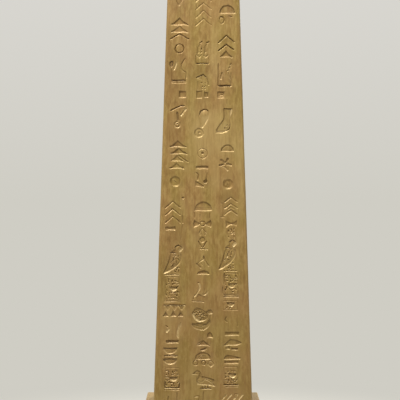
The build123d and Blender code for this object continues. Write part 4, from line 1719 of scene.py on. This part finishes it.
@dataclass
class Pyramidion:
    """Pointed top with a blunt tip, on a square spigot."""

    finish: OldGoldComposition
    bottom: float = 601.6
    height: float = 83.0
    width: float = 70.0
    tip_width: float = 1.8
    arris_radius: float = 0.8
    foot_ease: float = 0.5
    spigot_width: float = 38.0
    spigot_length: float = 12.0
    lump_depth: float = 0.3

    def build(self) -> Piece:
        """Runs the slopes and the spigot under them in one profile.

        Returns:
            The finished piece.
        """
        side, tip, top = self.width / 2, self.tip_width / 2, self.bottom + self.height
        spigot = self.spigot_width / 2
        slope = (side - tip) / self.height
        ease = self.foot_ease
        profile = Profile()
        profile.to(0, self.bottom - self.spigot_length, 0).to(spigot, self.bottom - self.spigot_length, 0.3)
        profile.to(spigot, self.bottom, 0.3)
        profile.to(side - 0.6 * ease, self.bottom, self.arris_radius, 0.3)
        profile.to(side - slope * ease, self.bottom + ease, self.arris_radius, 0, 0.8)
        profile.to(tip + slope * 1.2, top - 1.2, 0.75, 0, 0.4, steps=44)
        profile.to(tip + 0.1, top - 0.4, 0.7, 0, 1).to(0.6 * tip, top, 0.4, 0, 1).to(0, top, 0, 0, 1)
        return profile.block("pointed_top", self.finish.material(), side_steps=30, wear=self.lump_depth)


@dataclass
class Pedestal:
    """Cap, die, base moulding and base slab: four castings with a hole for the rod, stacked."""

    finish: OldGoldComposition
    slab_bottom: float = 2.5
    slab_height: float = 16.0
    slab_width: float = 148.0
    slab_ease: float = 1.5
    recess_radius: float = 18.0
    recess_depth: float = 12.0
    moulding_bottom: float = 18.5
    torus_radius: float = 5.0
    base_fillet_height: float = 1.6
    base_fillet_step: float = 2.0
    base_cove: float = 6.0
    base_top_step: float = 1.0
    die_bottom: float = 37.1
    die_width: float = 112.0
    die_arris: float = 1.2
    cap_bottom: float = 95.1
    cap_fillet_height: float = 2.0
    cap_fillet_step: float = 1.0
    cap_cove: float = 5.5
    fascia_height: float = 9.0
    fascia_ease: float = 1.2
    hole_radius: float = 4.6
    corner: float = 0.6
    lip: float = 0.35
    lump_depth: float = 0.35

    def build(self) -> list[Piece]:
        """Makes the four castings, from the bottom up."""
        return [self.slab(), self.moulding(), self.die(), self.cap()]

    def hole(self, level: float, profile: Profile) -> Profile:
        """Takes a profile to the rod's hole at a level."""
        return profile.to(self.hole_radius, level, self.hole_radius)

    def cast(self, name: str, level: float, profile: Profile, side_steps: int = 48) -> Piece:
        """Closes a profile at its top and runs it round as a casting."""
        closed = self.hole(level, profile)
        return closed.block(name, self.finish.material(), side_steps=side_steps, wear=self.lump_depth)

    def slab(self) -> Piece:
        """Foot slab with an eased top edge and a round recess underneath.

        Returns:
            The finished piece.
        """
        side, low, high = self.slab_width / 2, self.slab_bottom, self.slab_bottom + self.slab_height
        roof = low + self.recess_depth
        profile = self.hole(high, Profile())
        self.hole(roof, profile).to(self.recess_radius, roof, self.recess_radius, 0.5)
        profile.to(self.recess_radius, low, self.recess_radius, 0.2)
        profile.to(side - self.lip, low, self.corner, 0.2)
        profile.to(side, low + self.lip, self.corner, 0, 0.7)
        profile.to(side, high - self.slab_ease, self.corner, 0, 0.2, steps=8)
        profile.round((side - self.slab_ease, high - self.slab_ease), self.slab_ease, 0, 90, self.corner, 0,
                      1, 6)
        profile.to(side - self.slab_ease - 2.5, high, self.corner, 0.6)
        return self.cast("foot_slab", high, profile)

    def moulding(self) -> Piece:
        """Torus, fillet, cove and top step under the die.

        Returns:
            The finished piece.
        """
        top_side = self.die_width / 2 + self.base_top_step
        cove_side = top_side + self.base_cove
        axis = cove_side + self.base_fillet_step
        low = self.moulding_bottom
        torus_top = low + 2 * self.torus_radius
        cove_low = torus_top + self.base_fillet_height
        cove_high = cove_low + self.base_cove
        profile = self.hole(self.die_bottom, Profile())
        self.hole(low, profile).to(axis, low, self.corner, 0.8)
        profile.round((axis, low + self.torus_radius), self.torus_radius, -84, 90, self.corner, 0, 0.7, 16)
        profile.to(cove_side + 0.2, torus_top, self.corner, 0.9)
        profile.to(cove_side, torus_top + 0.2, self.corner, 0.9)
        profile.to(cove_side, cove_low - 0.2, self.corner, 0.1, 0.9)
        profile.round((cove_side, cove_high), self.base_cove, 268, 182, self.corner, 0.55, 0, 12)
        profile.to(top_side, self.die_bottom - 0.25, self.corner, 0.1, 0.7)
        profile.to(top_side - 0.25, self.die_bottom, self.corner, 0.3, 0.6)
        return self.cast("foot_moulding", self.die_bottom, profile)

    def die(self) -> Piece:
        """Plain block between the mouldings.

        Returns:
            The finished piece.
        """
        side, low, high = self.die_width / 2, self.die_bottom, self.cap_bottom
        profile = self.hole(high, Profile())
        self.hole(low, profile).to(side - self.lip, low, self.die_arris, 0.8)
        profile.to(side, low + self.lip, self.die_arris, 0.35).to(side, low + 3, self.die_arris, 0.05)
        profile.to(side, high - 3, self.die_arris, 0.05, steps=20)
        profile.to(side, high - self.lip, self.die_arris, 0.4)
        profile.to(side - self.lip, high, self.die_arris, 0.8)
        return self.cast("die_block", high, profile, 40)

    def cap(self) -> Piece:
        """Fillet, cove and fascia under the shaft, with an eased top edge.

        Returns:
            The finished piece.
        """
        foot = self.die_width / 2 + self.cap_fillet_step
        side = foot + self.cap_cove
        low = self.cap_bottom
        cove_low = low + self.cap_fillet_height
        fascia_low = cove_low + self.cap_cove
        high = fascia_low + self.fascia_height
        profile = self.hole(high, Profile())
        self.hole(low, profile).to(foot - 0.2, low, self.corner, 0.7).to(foot, low + 0.2, self.corner, 0, 0.5)
        profile.to(foot, cove_low - 0.1, self.corner, 0.2, 0.3)
        profile.round((side, cove_low), self.cap_cove, 178, 92, self.corner, 0.55, 0, 12)
        profile.to(side - 0.15, fascia_low, self.corner, 0.1, 0.6)
        profile.to(side, fascia_low + 0.25, self.corner, 0, 0.8)
        profile.to(side, high - self.fascia_ease, self.corner, 0, 0.3, steps=6)
        profile.round((side - self.fascia_ease, high - self.fascia_ease), self.fascia_ease, 0, 90,
                      self.corner, 0, 1, 6)
        profile.to(side - self.fascia_ease - 2, high, self.corner, 0, 0)
        profile.to(side - 10, high, self.corner, 0.1, 0, steps=3).to(side - 12.3, high, self.corner, 0.8, 0)
        return self.cast("cap_moulding", high, profile, 44)


@dataclass
class Fixing:
    """Threaded rod with its washer and nut, which clamps the stack from the recess under the slab."""

    finish: ZincPlatedSteel
    rod_radius: float = 4.0
    rod_bottom: float = 5.0
    rod_top: float = 171.6
    end_cone: float = 0.8
    thread_pitch: float = 1.25
    thread_depth: float = 0.62
    rings_per_turn: int = 6
    washer_radius: float = 12.0
    washer_hole: float = 4.6
    washer_bottom: float = 12.7
    washer_top: float = 14.5
    nut_width: float = 13.0
    nut_hole: float = 4.05
    nut_bottom: float = 6.2
    nut_chamfer: float = 0.6

    def build(self) -> list[Piece]:
        """Makes the rod, the washer and the nut."""
        return [self.rod(), self.washer(), self.nut()]

    def rod(self) -> Piece:
        """Rod with a thread over its whole length.

        Returns:
            The finished piece.
        """
        piece = mesh_object("threaded_rod", [(0, 0, 0)], [])
        turns = (self.rod_top - self.rod_bottom) / self.thread_pitch
        grow(piece, self.finish.material(), (thread_tree(), {
            "Radius": self.rod_radius * MM, "Pitch": self.thread_pitch * MM,
            "Thread Depth": self.thread_depth * MM, "Bottom": self.rod_bottom * MM,
            "Top": self.rod_top * MM, "End Cone": self.end_cone * MM, "Around": 24,
            "Rings": round(turns * self.rings_per_turn) + 1}))
        with opened(piece) as mesh:
            bmesh.ops.holes_fill(mesh, edges=[edge for edge in mesh.edges if edge.is_boundary])
        finish_surface(piece, sharp_degrees=40)
        return piece

    def washer(self) -> Piece:
        """Wide punched washer with eased rims.

        Returns:
            The finished piece.
        """
        low, high, ease = self.washer_bottom, self.washer_top, 0.2
        rim, hole = self.washer_radius, self.washer_hole
        profile = Profile().to(hole, high, hole).to(hole, low + ease, hole).to(hole + ease, low, hole + ease)
        profile.to(rim - ease, low, rim - ease).to(rim, low + ease, rim).to(rim, high - ease, rim)
        profile.to(rim - ease, high, rim - ease).to(hole, high, hole)
        return profile.block("wide_washer", self.finish.material(), side_steps=1, corner_steps=12)

    def nut(self) -> Piece:
        """Hexagon nut with its corners turned off at both faces.

        Returns:
            The finished piece.
        """
        low, high, side, hole = self.nut_bottom, self.washer_bottom, self.nut_width / 2, self.nut_hole
        shoulder = side - 0.05
        profile = Profile().to(hole, high, hole).to(hole, low + 0.4, hole).to(hole + 0.4, low, hole + 0.4)
        profile.to(shoulder - 0.15, low, shoulder - 0.15).to(side, low + self.nut_chamfer, 0.12, steps=4)
        profile.to(side, high - self.nut_chamfer, 0.12).to(shoulder - 0.15, high, shoulder - 0.15, steps=4)
        profile.to(hole, high, hole)
        return profile.block("hexagon_nut", self.finish.material(), sides=6, side_steps=6, corner_steps=3)


@dataclass
class FootPads:
    """Four round felt pads under the corners of the slab."""

    finish: WoolFelt
    radius: float = 11.0
    thickness: float = 2.5
    edge_ease: float = 0.4
    reach: float = 54.0
    nap: float = 0.25
    tuft_size: float = 0.8

    def build(self) -> Piece:
        """Makes one pad, gives its rim a nap and repeats it round the axis.

        Returns:
            The four pads as one finished piece.
        """
        ease, rim, material = self.edge_ease, self.radius, self.finish.material()
        profile = Profile().to(0, 0, 0).to(rim - ease, 0, rim - ease, steps=4)
        profile.round((rim - ease, ease), ease, -90, 0, rim, 0, 0, 4)
        profile.to(rim, self.thickness - 0.1, rim, steps=5).to(rim - 0.1, self.thickness, rim - 0.1)
        profile.to(0, self.thickness, 0, steps=4)
        rows = [(half, height, half, recess, rub) for half, height, _, recess, rub in profile.rows]
        piece = Profile(rows).block("felt_pads", material, side_steps=1, corner_steps=16)
        grow(
            piece, material,
            (wear_tree(), {
                "Depth": self.nap * MM, "Lump Size": self.tuft_size * MM, "Bottom": -2 * MM,
                "Top": (self.thickness + 2) * MM}),
            (repeat_tree(), {
                "Count": 4, "Distance": self.reach * math.sqrt(2) * MM, "First Turn": math.pi / 4}),
        )
        finish_surface(piece, sharp_degrees=50)
        return piece


# ---- Studio ----


@dataclass
class Studio:
    """Pale floor, soft light and the camera. Lengths in metres."""

    floor_radius: float = 30.0
    horizon: str = "#CFCDC4"
    zenith: str = "#D8D6D0"
    camera_place: tuple[float, float, float] = (-0.00324, -0.8592, 0.3306)
    camera_roll: float = -0.08
    lens: float = 72.74
    sensor: float = 36.0
    fill: float = 0.3
    key_place: tuple[float, float, float] = (-0.5, -0.87, 2.3)
    lamps_aim: tuple[float, float, float] = (0, 0, 0.33)
    key_size: float = 0.52
    key_power: float = 64.0
    back_place: tuple[float, float, float] = (0.75, 0.95, 1.35)
    back_size: float = 0.7
    back_power: float = 22.0

    def build(self) -> None:
        """Makes the floor, the world, the lamps and the camera."""
        self.floor()
        self.world()
        self.lamp("key", self.key_place, self.key_size, self.key_power)
        self.lamp("back", self.back_place, self.back_size, self.back_power)
        self.camera()

    def floor(self) -> None:
        """Round pale floor that the pads stand on."""
        rim = [(self.floor_radius * x, self.floor_radius * y, 0) for x, y in circle(0, 0, 1)]
        floor = mesh_object("floor", rim, [range(len(rim))])
        floor.data.materials.append(PalePaper().material())

    def world(self) -> None:
        """Even light from all round, in front of a slightly brighter surround."""
        world = bpy.data.worlds.new("Soft_surround")
        world.use_nodes = True
        tree = world.node_tree
        node = partial(add_node, tree)
        up = node("SeparateXYZ", [node("TexCoord").outputs["Generated"]]).outputs[2]
        share = node("MapRange", [up, 0.0, 0.25])
        colour = node("Mix", [share, self.horizon, self.zenith], data_type="RGBA")
        backdrop = node("Background", [colour])
        light = tree.nodes["Background"]
        feed(tree, light, {"Color": self.zenith, "Strength": self.fill})
        seen = node("MixShader", [seen_directly(node), light, backdrop])
        feed(tree, tree.nodes["World Output"], {"Surface": seen})
        bpy.context.scene.world = world

    def lamp(self, name: str, place: tuple[float, float, float], size: float, power: float) -> None:
        """Square lamp aimed at the middle of the shaft.

        Args:
            name: the lamp's name.
            place: where it hangs.
            size: its side.
            power: its power in watts.
        """
        lamp = bpy.data.lights.new(name, "AREA")
        lamp.size, lamp.energy = size, power
        holder = bpy.data.objects.new(name, lamp)
        holder.location = place
        way = Vector(self.lamps_aim) - Vector(place)
        holder.rotation_euler = way.to_track_quat("-Z", "Y").to_euler()
        bpy.context.collection.objects.link(holder)

    def camera(self) -> None:
        """Level camera in front of the shaft."""
        camera = bpy.data.objects.new("camera", bpy.data.cameras.new("camera"))
        camera.data.lens, camera.data.sensor_width = self.lens, self.sensor
        camera.location = self.camera_place
        camera.rotation_euler = (math.radians(90), math.radians(self.camera_roll), 0)
        bpy.context.collection.objects.link(camera)
        bpy.context.scene.camera = camera


def main() -> None:
    """Builds the obelisk from the ground up, then the studio."""
    logging.basicConfig(level=logging.INFO, format="%(name)s: %(message)s")
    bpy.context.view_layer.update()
    gold, zinc, felt = OldGoldComposition(), ZincPlatedSteel(), WoolFelt()

    pads = FootPads(felt).build()
    corners = [f"foot_pad_{row}_{side}" for row in ("front", "back") for side in ("left", "right")]
    hand_over(pads, "felt", *corners)
    castings = ("base_slab", "base_moulding", "pedestal_die", "plinth_cap")
    for piece, node in zip(Pedestal(gold).build(), castings):
        hand_over(piece, "old_gold_composition", node)
    hand_over(Shaft(gold).build(), "old_gold_composition", "shaft")
    hand_over(Pyramidion(gold).build(), "old_gold_composition", "pyramidion")
    for piece, node in zip(Fixing(zinc).build(), ("fixing_rod", "fixing_washer", "fixing_nut")):
        hand_over(piece, "zinc_steel", node)

    Studio().build()
    bpy.context.scene.view_settings.view_transform = "Standard"


if __name__ == "__main__":
    main()
